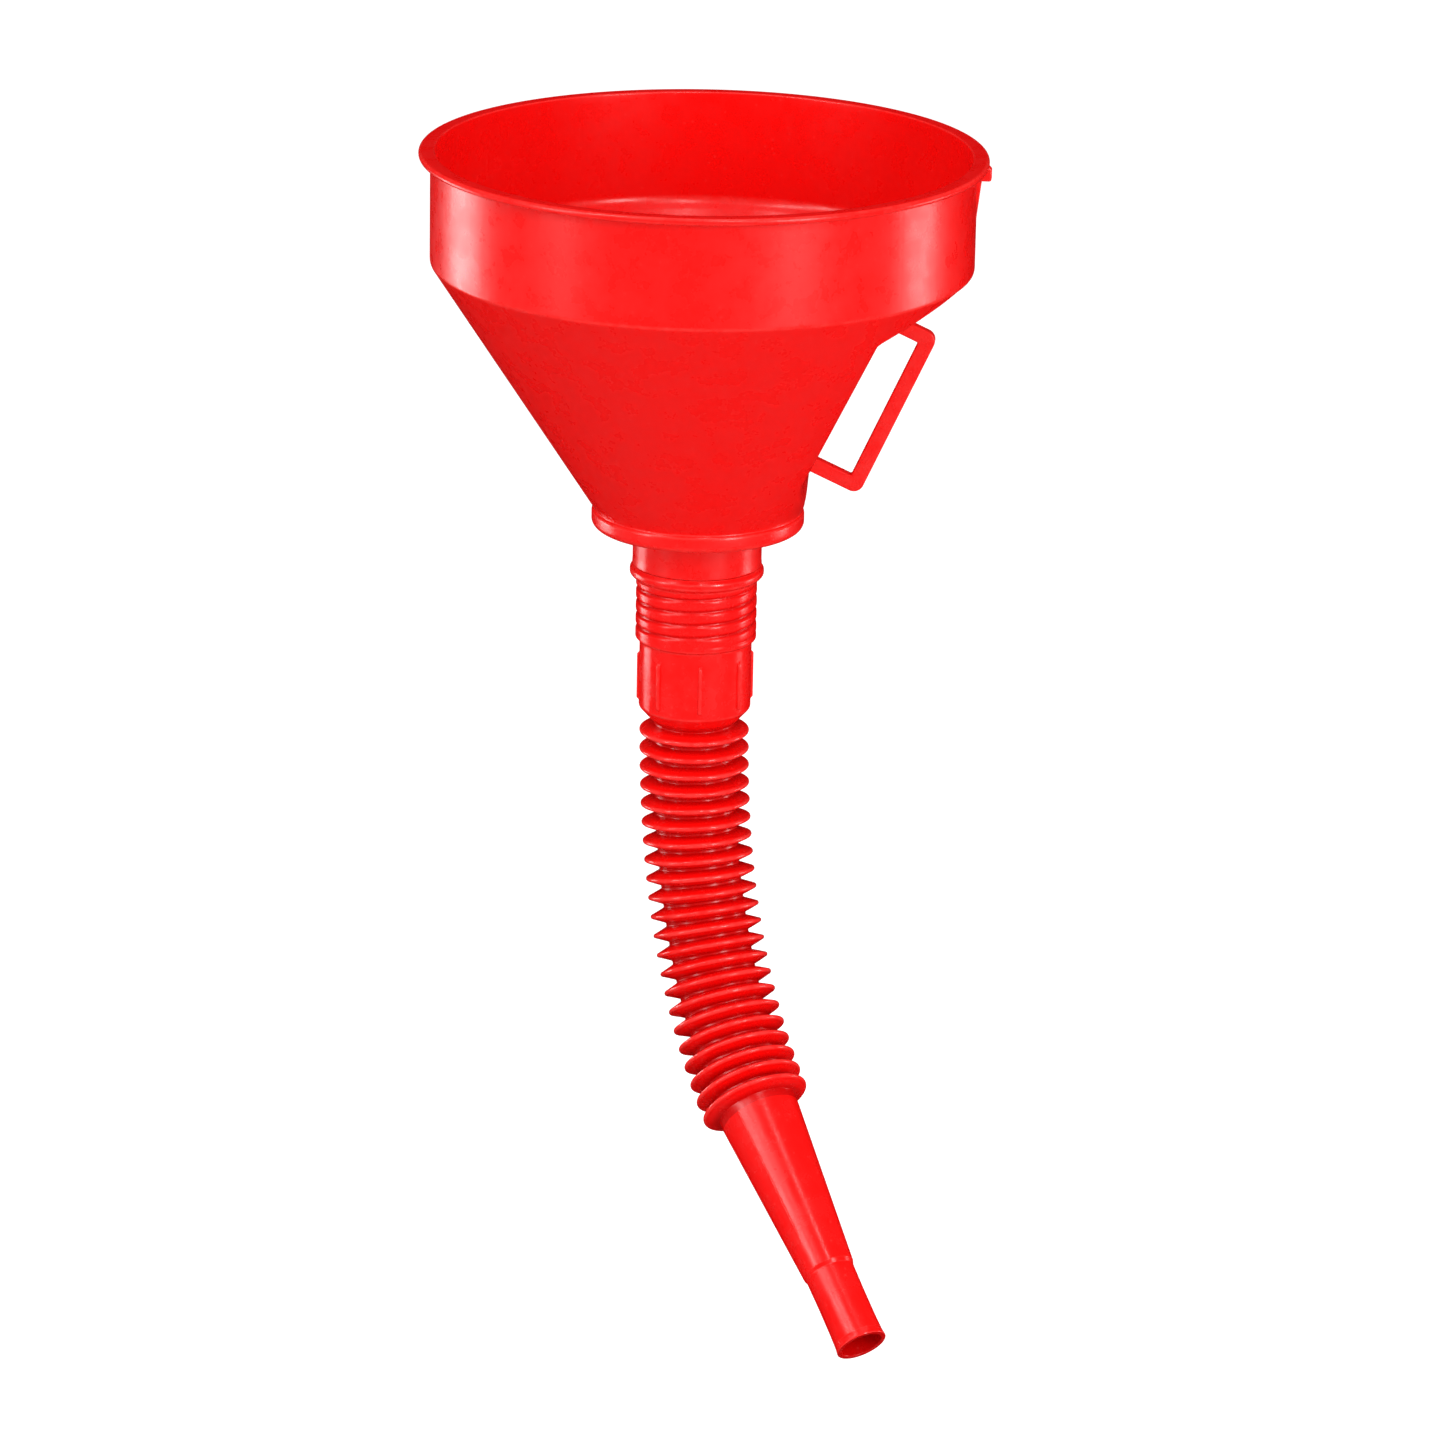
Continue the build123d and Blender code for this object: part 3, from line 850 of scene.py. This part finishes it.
@dataclass
class Strainer:
    """The lift-out strainer: a ring with four spokes, a hub and a tab, and woven gauze on them."""

    seat_r: float
    gap: float = 0.4
    height: float = 3.2
    rim: float = 2.0
    spoke_w: float = 2.0
    spoke_h: float = 1.2
    hub_r: float = 4.0
    tab_w: float = 6.4
    tab_h: float = 8.0
    tab_thick: float = 1.8
    wire_r: float = 0.11
    weave: float = 1.3

    def frame(self) -> bpy.types.Object:
        """Ring, spokes, hub and tab."""
        z = low_z("strainer_frame")
        out = self.seat_r - self.gap
        inner = out - self.rim
        top = self.spoke_h + 0.4
        draft = Draft("strainer_body")
        rim = z + self.height
        lathe(draft, [(inner, z, 0.25), (out, z, 0.3), (out, rim, 0.8), (inner, rim, 0.5)])
        lathe(draft, [(0.01, z), (self.hub_r, z, 0.3), (self.hub_r, z + top, 0.5), (0.01, z + top)], 48)
        for angle in np.radians(45 + 90 * np.arange(4)):
            along = np.array([math.cos(angle), math.sin(angle), 0])
            side = np.array([-math.sin(angle), math.cos(angle), 0])
            mid = along * (self.hub_r - 0.4 + inner + 0.5) / 2 + np.array([0, 0, z + self.spoke_h / 2])
            w, h = self.spoke_w / 2, self.spoke_h / 2
            axle = Axle(mid, side, np.array([0, 0, 1.0]), along)
            section = [(-w, -h, 0.2), (w, -h, 0.2), (w, h, 0.45), (-w, h, 0.45)]
            slab(draft, section, (inner - self.hub_r + 0.9) / 2, 0.05, axle)
        axle = Axle(np.zeros(3), np.array([1.0, 0, 0]), np.array([0, 0, 1.0]), np.array([0, -1.0, 0]))
        foot, w = z + top, self.tab_w / 2
        slab(draft, [
            (-w, foot - 0.6), (w, foot - 0.6),
            (w, foot + self.tab_h, w * 0.67), (-w, foot + self.tab_h, w * 0.67),
        ], self.tab_thick / 2, 0.35, axle)
        for rise in (2.6, 4.0, 5.4):
            for sign in (-1, 1):
                place = np.array([0, sign * self.tab_thick / 2, foot + rise])
                ridge = Axle(place, np.array([0, 0, 1.0]), np.array([0, 1.0, 0]), np.array([1.0, 0, 0]))
                section = [(-0.3, -0.2, 0.1), (0.3, -0.2, 0.1), (0.3, 0.22, 0.2), (-0.3, 0.22, 0.2)]
                slab(draft, section, w - 0.7, 0.12, ridge)
        return draft.piece()

    def gauze(self) -> bpy.types.Object:
        """Two families of wires that cross over and under: each wire's height is a cosine of its travel.

        Wire i stands at i·weave, spans the ring's chord there, and rises by
        wire radius·cos(π·travel / weave + π·i), with the other family half a turn behind.

        Returns:
            The piece.
        """
        reach = self.seat_r - self.gap - self.rim + 0.5
        z = low_z("strainer_gauze") + 0.2
        draft = Draft("woven_gauze")
        count = int(reach // self.weave)
        samples = np.linspace(-1, 1, 2 * count * 2 + 1)
        for i in range(-count, count + 1):
            off = i * self.weave
            chord = math.sqrt(max(reach**2 - off**2, 0.5)) * samples
            wave = self.wire_r * np.cos(math.pi * chord / self.weave + math.pi * i)
            first = np.stack([chord, np.full_like(chord, off), z + wave], axis=1)
            other = np.stack([np.full_like(chord, off), chord, z - wave], axis=1)
            tube(draft, first, self.wire_r, 5, np.array([0, 1.0, 0]))
            tube(draft, other, self.wire_r, 5, np.array([1.0, 0, 0]))
        return draft.piece(60)


# ---- the spout: cuff, bellows and nozzle ----
@dataclass
class Cuff:
    """The spout's screw cuff: bead, sleeve with the thread showing through, and gripping ribs."""

    bore_r: float = 16.08
    sleeve_r: float = 17.35
    groove: float = 0.62
    pitch: float = 3.8
    bead_out: float = 1.85
    bead_h: float = 4.0
    body_r: float = 16.1
    wall: float = 1.5
    round_r: float = 4.0
    valley_r: float = 12.45
    gap: float = 0.8
    rib_count: int = 8
    rib_first: float = 10.0
    rib_w: float = 1.1
    rib_out: float = 0.7
    rib_len: float = 14.7
    rib_below: float = 4.4
    seam: float = 1.4

    def columns(self) -> Array:
        """Angles of the columns, crowded on each rib: even between ribs, and close across them."""
        half = self.rib_w / 2 / self.body_r
        one_side = np.array([0.32, 0.62, 0.86, 1.0, 1.12, 1.5])
        across = half * np.concatenate([-one_side[::-1], [0], one_side])
        pitch = 2 * math.pi / self.rib_count
        between = np.linspace(half * 1.5, pitch - half * 1.5, 12)[1:-1]
        one = np.concatenate([across, between])
        each = math.radians(self.rib_first) + pitch * np.arange(self.rib_count)
        return (each[:, None] + one[None]).ravel()

    def ribs(self, z: Array, angle: Array, top: float) -> Array:
        """Height of the gripping ribs: a round crown across each, easing off at both ends.

        Across, it is (1 - |offset / half width|³)^½. Along, it eases over 0.9 mm.

        Args:
            z: Heights of the rows.
            angle: Angles of the columns.
            top: Height of the ribs' upper ends.

        Returns:
            Heights above the cuff, rows by columns.
        """
        pitch = 2 * math.pi / self.rib_count
        off = (angle - math.radians(self.rib_first) + pitch / 2) % pitch - pitch / 2
        crown = np.sqrt(np.clip(1 - np.abs(off * self.body_r / (self.rib_w / 2)) ** 3, 0, 1))
        ends = smoothstep((top - z) / 0.9) * smoothstep((z - top + self.rib_len) / 0.9)
        return self.rib_out * crown * ends

    def build(self, pivot_z: float) -> bpy.types.Object:
        """The cuff as one closed shell: down its outside and back up its bore."""
        z_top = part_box("spout_cuff")[1][2] / MM
        z_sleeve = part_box("neck_washer")[0][2] / MM - 0.1
        z_end = pivot_z + self.gap
        z_seam = pivot_z + self.seam
        bead_r = self.sleeve_r + self.bead_out
        z_bead = z_top - self.bead_h
        mid = (z_top + z_bead) / 2
        seam_r = self.valley_r + (z_seam - z_end) * (self.body_r - self.valley_r) / self.round_r
        bead = spaced(rounded([
            (self.bore_r, z_top, 0.25), (bead_r - 0.8, z_top, 0.5), (bead_r, mid + 0.8, 1.3),
            (bead_r, mid - 0.8, 1.3), (self.sleeve_r, z_bead, 0.9), (self.sleeve_r, z_bead - 1.2),
        ], closed=False, steps=8), 0.8)
        screw = spaced(np.array([[self.sleeve_r, z_bead - 1.3, 0], [self.sleeve_r, z_sleeve + 1.4, 0]]), 0.2)
        plain = spaced(rounded([
            (self.sleeve_r, z_sleeve + 1.2), (self.sleeve_r, z_sleeve, 0.7),
            (self.body_r, z_sleeve - 0.8, 0.7), (self.body_r, z_sleeve - self.rib_below + 0.3),
        ], closed=False, steps=8), 0.8)
        rib_top = z_sleeve - self.rib_below
        rib_low = rib_top - self.rib_len
        ends = np.array([0.25, 0.1, 0, -0.1, -0.25, -0.4, -0.55, -0.7, -0.9])
        along = np.linspace(rib_top - 2, rib_low + 2, 8)
        grip = np.concatenate([rib_top + ends, along, rib_low - ends[::-1]])
        grip = np.stack([np.full_like(grip, self.body_r), grip, 0 * grip], axis=1)
        low = spaced(rounded([
            (self.body_r, rib_low - 0.4), (self.body_r, z_end + self.round_r, self.round_r),
            (seam_r, z_seam),
        ], closed=False, steps=14), 0.8)
        bore = spaced(rounded([
            (seam_r - 1.0, z_seam), (self.body_r - self.wall, z_end + self.round_r + self.wall, 2.5),
            (self.body_r - self.wall, z_sleeve, 0.3), (self.bore_r, z_sleeve, 0.3),
            (self.bore_r, z_top - 0.4),
        ], closed=False), 2.0)
        angle = self.columns()[None]
        rows = np.concatenate([bead, screw, plain, grip, low, bore])
        radius = rows[:, :1] + 0 * angle
        radius[: -len(bore)] += self.ribs(rows[: -len(bore), 1:2], angle, rib_top)
        first = len(bead)
        cut = self.lead(screw[:, 1:2], angle, z_bead, z_sleeve)
        radius[first : first + len(screw)] -= cut
        # Painted shade in the thread's groove, darkest at its bottom, and over the bore.
        painted_dark = np.zeros_like(radius)
        painted_dark[first : first + len(screw)] = cut / self.groove * 0.9
        painted_dark[-len(bore):] = 0.7
        # Painted highlight and handling wear on the rounded arcs and on the ribs.
        wear_highlight = np.repeat(rows[:, 2:], angle.shape[1], axis=1)
        wear_highlight[: -len(bore)] += self.ribs(rows[: -len(bore), 1:2], angle, rib_top) / self.rib_out * 0.8
        draft = Draft("screw_cuff")
        draft.add(UPRIGHT.place(radius, angle, rows[:, 1:2]), edge=np.clip(wear_highlight, 0, 1), hollow=painted_dark)
        return draft.piece(50)

    def lead(self, z: Array, angle: Array, top: float, low: float) -> Array:
        """Depth of the right-hand groove between the thread's turns, narrow beside its broad crests."""
        phase = z / self.pitch - angle / (2 * math.pi)
        off = phase - np.round(phase)
        fade = smoothstep((top - 1.0 - z) / 1.2) * smoothstep((z - low - 1.0) / 1.2)
        return self.groove * np.exp(-((off / 0.15) ** 2)) * fade


@dataclass
class Bellows:
    """The bendable part: a skin of soft folds, cut at each flank so that each fold bends at its valley."""

    pivots: Array
    headings: Array
    side: Array
    crest_r: float = 15.8
    crest_land: float = 0.9
    crest_round: float = 0.62
    floor_r: float = 11.65
    floor_half: float = 0.46
    floor_round: float = 0.35
    inner_low: float = 10.9
    inner_high: float = 14.55
    cut: float = 0.9          # from a crest's middle to the cut on the flank below it
    soft: float = 1.35        # half the length that bends at a valley

    @property
    def pitch(self) -> float:
        """From one valley to the next."""
        return float(np.linalg.norm(self.pivots[1] - self.pivots[0]))

    def axle(self, i: int, heading: Array) -> Axle:
        """The place of bending point i for a ring that runs along a heading."""
        return Axle(self.pivots[i], self.side, np.cross(heading, self.side), heading)

    def flank(self, travel: float) -> float:
        """Radius of a straight flank, that far from its valley."""
        top = self.pitch / 2 - self.crest_land / 2
        share = (travel - self.floor_half) / (top - self.floor_half)
        return self.floor_r + share * (self.crest_r - self.floor_r)

    def outline(self, i: int, cuff: Cuff, nozzle: "Nozzle") -> Array:
        """The skin's outside at bending point i, as r and travel: flank, valley, flank, crest, cut."""
        half, land = self.pitch / 2, self.crest_land / 2
        above = [
            (self.flank(half - self.cut), -half + self.cut),
            (self.floor_r, -self.floor_half, self.floor_round),
        ]
        if i == 0:
            run = (cuff.body_r - cuff.valley_r) / cuff.round_r
            seam_r = cuff.valley_r + (cuff.seam - cuff.gap) * run
            above = [(seam_r, -cuff.seam), (self.floor_r, -cuff.seam + (seam_r - self.floor_r) / run, 0.3)]
        below = [
            (self.floor_r, self.floor_half, self.floor_round), (self.crest_r, half - land, self.crest_round),
            (self.crest_r, half + land, self.crest_round), (self.flank(half - self.cut), half + self.cut),
        ]
        if i == len(self.pivots) - 1:
            start = -self.floor_half - (nozzle.outside(0.0) - self.floor_r) / 2.35
            above[-1] = (nozzle.outside(start), start, 0.12)
            below = [(nozzle.outside(nozzle.seam), nozzle.seam)]
        return spaced(rounded(above + below, closed=False, steps=6), 0.45)

    def build(self, i: int, cuff: Cuff, nozzle: "Nozzle", columns: int = 112) -> bpy.types.Object:
        """One fold's skin, from the flank above bending point i to the flank below the next crest.

        Each point is placed from the ring above and from the ring below, and the two are mixed
        by a smooth step across the valley. The inside is a plain cosine wave of the travel.

        Args:
            i: Number of the bending point, from 0 at the cuff.
            cuff: The cuff, for the first fold.
            nozzle: The nozzle, for the last.
            columns: Points round the fold.

        Returns:
            The piece.
        """
        outside = self.outline(i, cuff, nozzle)
        travel = outside[::-2, 1]
        wave = 0.5 - 0.5 * np.cos(2 * math.pi * travel / self.pitch)
        inner = self.inner_low + (self.inner_high - self.inner_low) * wave
        if i == len(self.pivots) - 1:
            inner = np.where(travel > 0, nozzle.outside(travel) - nozzle.wall, inner)
        if i == 0:
            inner = np.where(travel < 0, self.inner_low + (-travel / cuff.seam) * 0.9, inner)
        rows = np.concatenate([outside[:, :2], np.stack([inner, travel], axis=1)])
        angle = np.linspace(0, 2 * math.pi, columns, endpoint=False)[None]
        r, s = rows[:, :1], rows[:, 1:]
        share = smoothstep((s + self.soft) / (2 * self.soft))[..., None]
        first, last = (self.axle(i, self.headings[j]).place(r, angle, s) for j in (i, i + 1))
        grid = first * (1 - share) + last * share
        inside = np.arange(len(rows)) >= len(outside)
        # Painted shade in the valleys and over the inside; painted highlight and handling wear on the crests.
        shade_paint = np.where(inside, 0.8, 1 - smoothstep((rows[:, 0] - self.floor_r - 0.2) / 2.6))
        wear_highlight = np.where(inside, 0, smoothstep((rows[:, 0] - self.crest_r + 0.7) / 0.6))
        draft = Draft(f"bellows_skin_{i + 1:02d}")
        draft.add(grid, edge=wear_highlight[:, None] + 0 * angle, hollow=shade_paint[:, None] + 0 * angle)
        return draft.piece(60)


@dataclass
class Nozzle:
    """The rigid end of the spout: a long taper with mould lines, a small step and a plain tip."""

    top_r: float = 11.57
    top_at: float = 1.8
    step_r: float = 7.58
    taper: float = 54.1
    tip_r: float = 7.15
    waist_r: float = 7.02
    tip_len: float = 25.0
    step: float = 1.2
    wall: float = 1.2
    lip: float = 0.28
    seam: float = 2.2
    line_at: float = 328.0    # degrees round the nozzle, of the first mould line
    line_high: float = 0.2
    line_half: float = 0.22

    def outside(self, travel: Array | float) -> Array | float:
        """Radius of the taper, that far from the last bending point."""
        return self.top_r - (travel - self.top_at) * (self.top_r - self.step_r) / (self.taper - self.top_at)

    def columns(self) -> Array:
        """Angles of the columns, crowded on the two mould lines, which stand half a turn apart."""
        across = np.radians([-3.2, -1.9, -1.25, -0.8, -0.4, 0, 0.4, 0.8, 1.25, 1.9, 3.2])
        between = np.linspace(math.radians(3.2), math.pi - math.radians(3.2), 46)[1:-1]
        one = np.concatenate([across, between])
        return (math.radians(self.line_at) + np.concatenate([one, one + math.pi]))[None]

    def build(self, axle: Axle) -> bpy.types.Object:
        """The nozzle as one closed shell along its own centre line, cut straight at its mouth."""
        end = self.taper + self.tip_len
        last = self.taper - 1
        upper = np.array([[self.outside(self.seam), self.seam, 0], [self.outside(last), last, 0]])
        upper = spaced(upper, 2.2)
        lower = spaced(rounded([
            (self.outside(self.taper - 0.9), self.taper - 0.9), (self.step_r, self.taper, 0.45),
            (self.tip_r, self.taper + self.step, 0.6), (self.waist_r, self.taper + 9),
            (self.waist_r + 0.02, end - 7), (self.tip_r, end - 2.2, 1.5), (self.tip_r + self.lip, end, 0.3),
            (self.tip_r - self.wall, end, 0.3), (self.tip_r - self.wall, self.taper + self.step),
            (self.step_r - self.wall, self.taper, 0.4), (self.outside(self.seam) - self.wall, self.seam),
        ], closed=False, steps=7), 2.2)
        rows = np.concatenate([upper, lower])
        angle = self.columns()
        off = (angle - math.radians(self.line_at) + math.pi / 2) % math.pi - math.pi / 2
        r, s = rows[:, :1], rows[:, 1:2]
        ridge = np.exp(-((off * r / self.line_half) ** 2)) * smoothstep((self.taper - 9 - s) / 4)
        turn_in = np.argmax(rows[:, 0] * (rows[:, 1] > end - 1)) + 4
        outer = (np.arange(len(rows)) < turn_in)[:, None]
        radius = r + self.line_high * ridge * outer
        # Painted shade over the inside; painted highlight and handling wear on the mould lines and rounded arcs.
        painted_dark = np.where(outer, 0, 0.9) + 0 * angle
        wear_highlight = np.clip(rows[:, 2:] + ridge, 0, 1) * outer
        draft = Draft("spout_nozzle_tip")
        draft.add(axle.place(radius, angle, s), edge=wear_highlight, hollow=painted_dark)
        return draft.piece(50)


# ---- studio ----
# name, place and size in metres, and power in watts
SOFTBOXES = (
    ("left_softbox", (-1.3, -0.95, 0.3), (0.22, 1.3), 10),
    ("right_softbox", (1.1, -1.2, 0.3), (0.32, 1.2), 17),
    ("top_softbox", (0.1, 0.2, 1.6), (1.2, 1.2), 4),
    ("left_high_strip", (-0.75, -0.8, 1.1), (0.12, 0.8), 5),
    ("right_high_strip", (0.3, -1.0, 1.1), (0.12, 0.8), 4),
    ("left_low_softbox", (-0.9, 0.35, -0.28), (0.35, 0.35), 3.0),
    ("right_low_softbox", (0.95, 0.25, -0.28), (0.3, 0.3), 2.0),
)


@dataclass
class Studio:
    """Plain pale floor, soft lights and the camera."""

    floor_drop: float = 8.0          # floor below the object, in millimetres
    floor_lift: float = 0.75         # light added to the floor as the camera sees it
    seen: float = 1.15               # strength of the white surround to the camera
    surround: float = 0.46           # its strength as light
    mirrored: float = 0.0            # its strength in gloss
    lens: float = 162.8
    camera_at: tuple[float, float, float] = (0.1478, -1.7820, 0.4187)
    ahead: tuple[float, float, float] = (-0.07421, 0.94723, -0.31185)
    upward: tuple[float, float, float] = (-0.04339, 0.30935, 0.94996)

    def camera(self) -> None:
        """A long lens from the side, a little above the mouth, with a small roll."""
        data = bpy.data.cameras.new("camera")
        data.lens = self.lens
        data.sensor_width = 36
        data.clip_start, data.clip_end = 0.05, 60
        ahead = Vector(self.ahead).normalized()
        right = ahead.cross(Vector(self.upward)).normalized()
        up = right.cross(ahead)
        turned = Matrix((right, up, -ahead)).transposed().to_4x4()
        made = bpy.data.objects.new("camera", data)
        made.matrix_world = Matrix.Translation(Vector(self.camera_at)) @ turned
        bpy.context.scene.collection.objects.link(made)
        bpy.context.scene.camera = made

    def floor(self) -> None:
        """A wide round floor, pale and matt."""
        z = CAD_BOX[0][2] / MM - self.floor_drop
        angle = np.linspace(0, 2 * math.pi, 96, endpoint=False)[None]
        radius = np.array([[10.0], [400], [2000], [12000]])
        draft = Draft("floor")
        below = np.array([[0.0]] * 4 + [[5]] * 4)
        draft.add(UPRIGHT.place(np.vstack([radius, radius[::-1]]), angle, z - below), loop=False)
        made = draft.piece()
        paint = bpy.data.materials.new("floor_white")
        paint.use_nodes = True
        shader = paint.node_tree.nodes["Principled BSDF"]
        wire = Wiring(paint.node_tree)
        rays = wire.add("ShaderNodeLightPath")
        lit = wire.sum("MULTIPLY", rays.outputs["Is Camera Ray"], self.floor_lift)
        paint.node_tree.links.new(lit, shader.inputs["Emission Strength"])
        shader.inputs["Base Color"].default_value = (0.62, 0.62, 0.62, 1)
        shader.inputs["Roughness"].default_value = 0.9
        shader.inputs["Specular IOR Level"].default_value = 0.1
        shader.inputs["Emission Color"].default_value = (1, 1, 1, 1)
        made.data.materials.append(paint)
        made.visible_glossy = False
        made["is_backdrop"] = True

    def light(self, name: str, place: Sequence[float], size: Sequence[float], power: float) -> None:
        """A soft rectangular light that faces the middle of the object."""
        data = bpy.data.lights.new(name, "AREA")
        data.shape = "RECTANGLE"
        data.size, data.size_y = size
        data.energy = power
        made = bpy.data.objects.new(name, data)
        made.location = place
        facing = Vector((0.0, 0.0, -0.12)) - Vector(place)
        made.rotation_euler = facing.to_track_quat("-Z", "Y").to_euler()
        bpy.context.scene.collection.objects.link(made)

    def lights(self) -> None:
        """An even white surround, and the softboxes of SOFTBOXES."""
        world = bpy.data.worlds.new("surround")
        world.use_nodes = True
        wire = Wiring(world.node_tree)
        sky = world.node_tree.nodes["Background"]
        sky.inputs["Color"].default_value = (1, 1, 1, 1)
        rays = wire.add("ShaderNodeLightPath")
        seen = wire.sum("MULTIPLY", rays.outputs["Is Camera Ray"], self.seen)
        glossy = wire.sum("MULTIPLY", rays.outputs["Is Glossy Ray"], self.mirrored - self.surround)
        strength = wire.sum("MAXIMUM", seen, wire.sum("ADD", glossy, self.surround))
        world.node_tree.links.new(strength, sky.inputs["Strength"])
        bpy.context.scene.world = world
        bpy.context.scene.view_settings.view_transform = "Standard"
        for name, place, size, power in SOFTBOXES:
            self.light(name, place, size, power)

    def build(self) -> None:
        """Camera, floor and lights."""
        self.camera()
        self.floor()
        self.lights()


@dataclass
class Funnel:
    """The whole funnel: each sub-assembly's pieces, their bodies and the CAD nodes they stand for."""

    effects: Effects
    bowl: Bowl = field(default_factory=Bowl)
    cuff: Cuff = field(default_factory=Cuff)
    nozzle: Nozzle = field(default_factory=Nozzle)
    paints: dict[str, bpy.types.Material] = field(default_factory=dict)

    def finish(self, piece: bpy.types.Object, finish: Finish, body: str, *nodes: str) -> None:
        """Dresses a piece, puts it on its body and hides the CAD nodes it stands for."""
        if finish.name not in self.paints:
            self.paints[finish.name] = finish.make(self.effects)
        dress(piece, self.paints[finish.name])
        if body:
            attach(piece, body)
        if nodes:
            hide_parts(*nodes)
        log.info("%s: %d faces", piece.name, len(piece.data.polygons))

    def top(self) -> None:
        """Bowl, lug, handle, strainer and washer."""
        self.finish(self.bowl.build(), BOWL_RED, "bowl", "funnel_bowl")
        self.finish(self.bowl.lug(), BOWL_RED, "bowl")
        self.finish(Handle(self.bowl.knee, self.bowl.heel).build(), BOWL_RED, "bowl", "finger_handle")
        strainer = Strainer(self.bowl.seat_r)
        self.finish(strainer.frame(), STRAINER_RED, "strainer", "strainer_frame")
        self.finish(strainer.gauze(), Brass(), "strainer", "strainer_gauze")
        low, high = (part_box("neck_washer")[k][2] / MM for k in (0, 1))
        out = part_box("neck_washer")[1][0] / MM
        ring = [(out - 1.5, low, 0.2), (out, low, 0.2), (out, high, 0.2), (out - 1.5, high, 0.2)]
        self.finish(lathe(Draft("sealing_washer"), ring).piece(), Rubber(), "washer", "neck_washer")

    def spout(self) -> None:
        """Cuff, folds and nozzle, whose places come from the joints that bend the spout."""
        joints = [j for j in frame["joints"] if j["name"].startswith("bend_")]
        joints.sort(key=lambda j: j["name"][-2:])
        pivots = np.array([j["pos_m"] for j in joints]) / MM
        mounts = {m["name"]: m for m in frame["record"]["mounts"]}
        runs = np.diff(pivots, axis=0)
        headings = np.vstack([[0, 0, -1.0], runs, mounts["nozzle_tip"]["axis"]])
        headings /= np.linalg.norm(headings, axis=1, keepdims=True)
        side = np.cross(headings[0], headings[-1])
        side /= np.linalg.norm(side)
        bellows = Bellows(pivots, headings, side)
        self.finish(self.cuff.build(pivots[0][2]), SPOUT_RED, "cuff", "spout_cuff")
        for i in range(len(pivots)):
            piece = bellows.build(i, self.cuff, self.nozzle)
            node = f"bellows_fold_{i + 1:02d}"
            self.finish(piece, SPOUT_RED, "", *([node] if node in frame["nodes"] else []))
            middle = headings[i] + headings[i + 1]
            middle /= np.linalg.norm(middle)
            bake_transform(piece)
        axle = bellows.axle(len(pivots) - 1, headings[-1])
        self.finish(self.nozzle.build(axle), SPOUT_RED, "nozzle", "spout_nozzle")


def main() -> None:
    """Builds the funnel and its studio."""
    logging.basicConfig(level=logging.INFO, format="%(name)s %(message)s")
    Studio().build()
    funnel = Funnel(Effects())
    funnel.top()
    funnel.spout()


if __name__ == "__main__":
    main()
